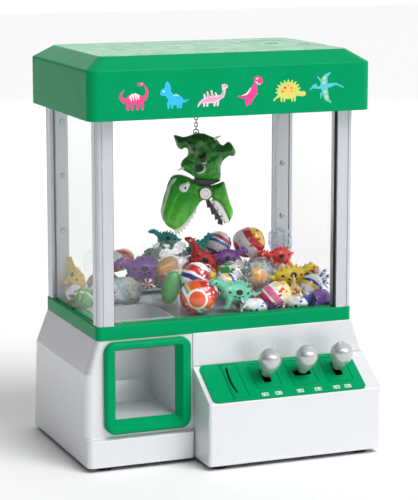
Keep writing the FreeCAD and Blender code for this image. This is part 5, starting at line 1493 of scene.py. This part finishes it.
def seal_and_shade_strips():
    """Dark strips along the front posts, where the panes go into them: seals, and painted shade on the posts'
    inner faces.
    """
    for side, word in ((-1, "left"), (1, "right")):
        front_post = [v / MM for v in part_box("post_front_" + word)]
        front_pane = [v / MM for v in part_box("window_front")]
        side_pane = [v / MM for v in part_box("window_" + word)]
        low_z = front_pane[0].z + STRIP_GAP
        high_z = front_pane[1].z - STRIP_TOP_GAP
        inner = front_post[0].x if side > 0 else front_post[1].x
        near, far = sorted((inner, inner - side * SEAL_AND_SHADE_WIDTH[side]))
        face = front_pane[0].y
        # the front strip also darkens the post's inner face as painted shade; it is wider on the right, where
        # that shade is
        bar("seal_and_shade_front_" + word, (near, face - STRIP_THICK, low_z), (far, face, high_z), STRIP_ROUND,
            M["seal_and_shade"])
        face = side_pane[1].x if side > 0 else side_pane[0].x
        near, far = sorted((face, face + side * STRIP_THICK))
        back = front_post[1].y
        bar("seal_and_shade_near_" + word, (near, back, low_z), (far, back + STRIP_DEPTH, high_z), STRIP_ROUND,
            M["seal_and_shade"])


seal_and_shade_strips()
# a pale strip in the chute's back right corner: a painted highlight that stands for the reflection on that
# corner
CHUTE_HIGHLIGHT_BEAD = ((-47.0, 14.6, 50.0), (-44.8, 16.8, 126.0))
bar("chute_highlight_bead", *CHUTE_HIGHLIGHT_BEAD, 0.6, M["silver"], "cabinet", "housing_silver")


# ---------------------------------------------------------------- stage, camera and light
def area_light(name, place, target, size, power):
    """A rectangle of light that faces a target and isn't seen by the camera."""
    light = bpy.data.lights.new(name, "AREA")
    light.shape = "RECTANGLE"
    light.size = size[0]
    light.size_y = size[1]
    light.energy = power
    obj = link(bpy.data.objects.new(name, light))
    obj.location = place
    obj.rotation_euler = (Vector(target) - Vector(place)).to_track_quat("-Z", "Y").to_euler()
    obj.visible_camera = False
    return obj


def sun_light(towards, strength, spread):
    """A broad, distant light that comes from the way it is given."""
    light = bpy.data.lights.new("key", "SUN")
    light.energy = strength
    light.angle = math.radians(spread)
    obj = link(bpy.data.objects.new("key", light))
    obj.rotation_euler = (-towards).to_track_quat("-Z", "Y").to_euler()
    return obj


def stage_floor():
    material, tree, shader = start_material("pale_floor")
    paper = mix_colour(tree, grain(tree, 900, 3), srgb(250, 250, 250), srgb(254, 254, 254))
    feed(tree, shader, {"Base Color": paper, "Roughness": 0.75, "Specular IOR Level": 0.15})
    bm = bmesh.new()
    bmesh.ops.create_grid(bm, x_segments=8, y_segments=8, size=FLOOR_HALF)
    floor = bm_piece("floor_sheet", bm, material, smooth=False)
    floor.location = (0, 0, cad_box[0][2] - FLOOR_DROP)


def sky():
    world = bpy.data.worlds.new("studio")
    world.use_nodes = True
    tree = world.node_tree
    tree.nodes.clear()
    seen = node(tree, "LightPath").outputs["Is Camera Ray"]
    plain = node(tree, "Background", {"Color": (1, 1, 1, 1), "Strength": 1.0})
    way = node(tree, "SeparateXYZ", {0: node(tree, "TexCoord").outputs["Generated"]})
    level = remap(tree, way.outputs["X"], -0.85, 0.35, DIM_SIDE, AMBIENT)
    soft = node(tree, "Background", {"Color": (1, 1, 1, 1), "Strength": level})
    mixed = node(tree, "MixShader", {0: seen, 1: soft.outputs[0], 2: plain.outputs[0]})
    node(tree, "OutputWorld", {"Surface": mixed.outputs[0]})
    SCENE.world = world


def view_camera(place, target, lens):
    data = bpy.data.cameras.new("view")
    data.lens = lens
    data.sensor_width = SENSOR_MM
    camera = link(bpy.data.objects.new("view", data))
    camera.location = place
    camera.rotation_euler = (Vector(target) - camera.location).to_track_quat("-Z", "Y").to_euler()
    SCENE.camera = camera


# the sky's strength, and its strength on the dark left side
AMBIENT = 0.78
DIM_SIDE = 0.0
FLOOR_HALF = 6.0
FLOOR_DROP = 0.0004
SENSOR_MM = 36.0
SUN_FROM = Vector((0.30, -0.55, 0.80))
MIDDLE = (0, 0, 0.25)
stage_floor()
sky()
view_camera((-0.660, -1.6688, 0.514), (0.0057, -0.0007, 0.1806), lens=142.0)
sun_light(SUN_FROM, strength=1.92, spread=32)
area_light("back_card", (1.05, 2.6, 0.95), (0, 0, 0.3), size=(2.2, 1.1), power=6.5)
area_light("spark_card", (-0.75, -1.5, 1.75), MIDDLE, size=(0.22, 0.22), power=2.5)
area_light("spark_strip", (1.3, -1.2, 1.3), MIDDLE, size=(0.10, 0.45), power=1.6)
SCENE.view_settings.view_transform = "Standard"
SCENE.view_settings.look = "None"
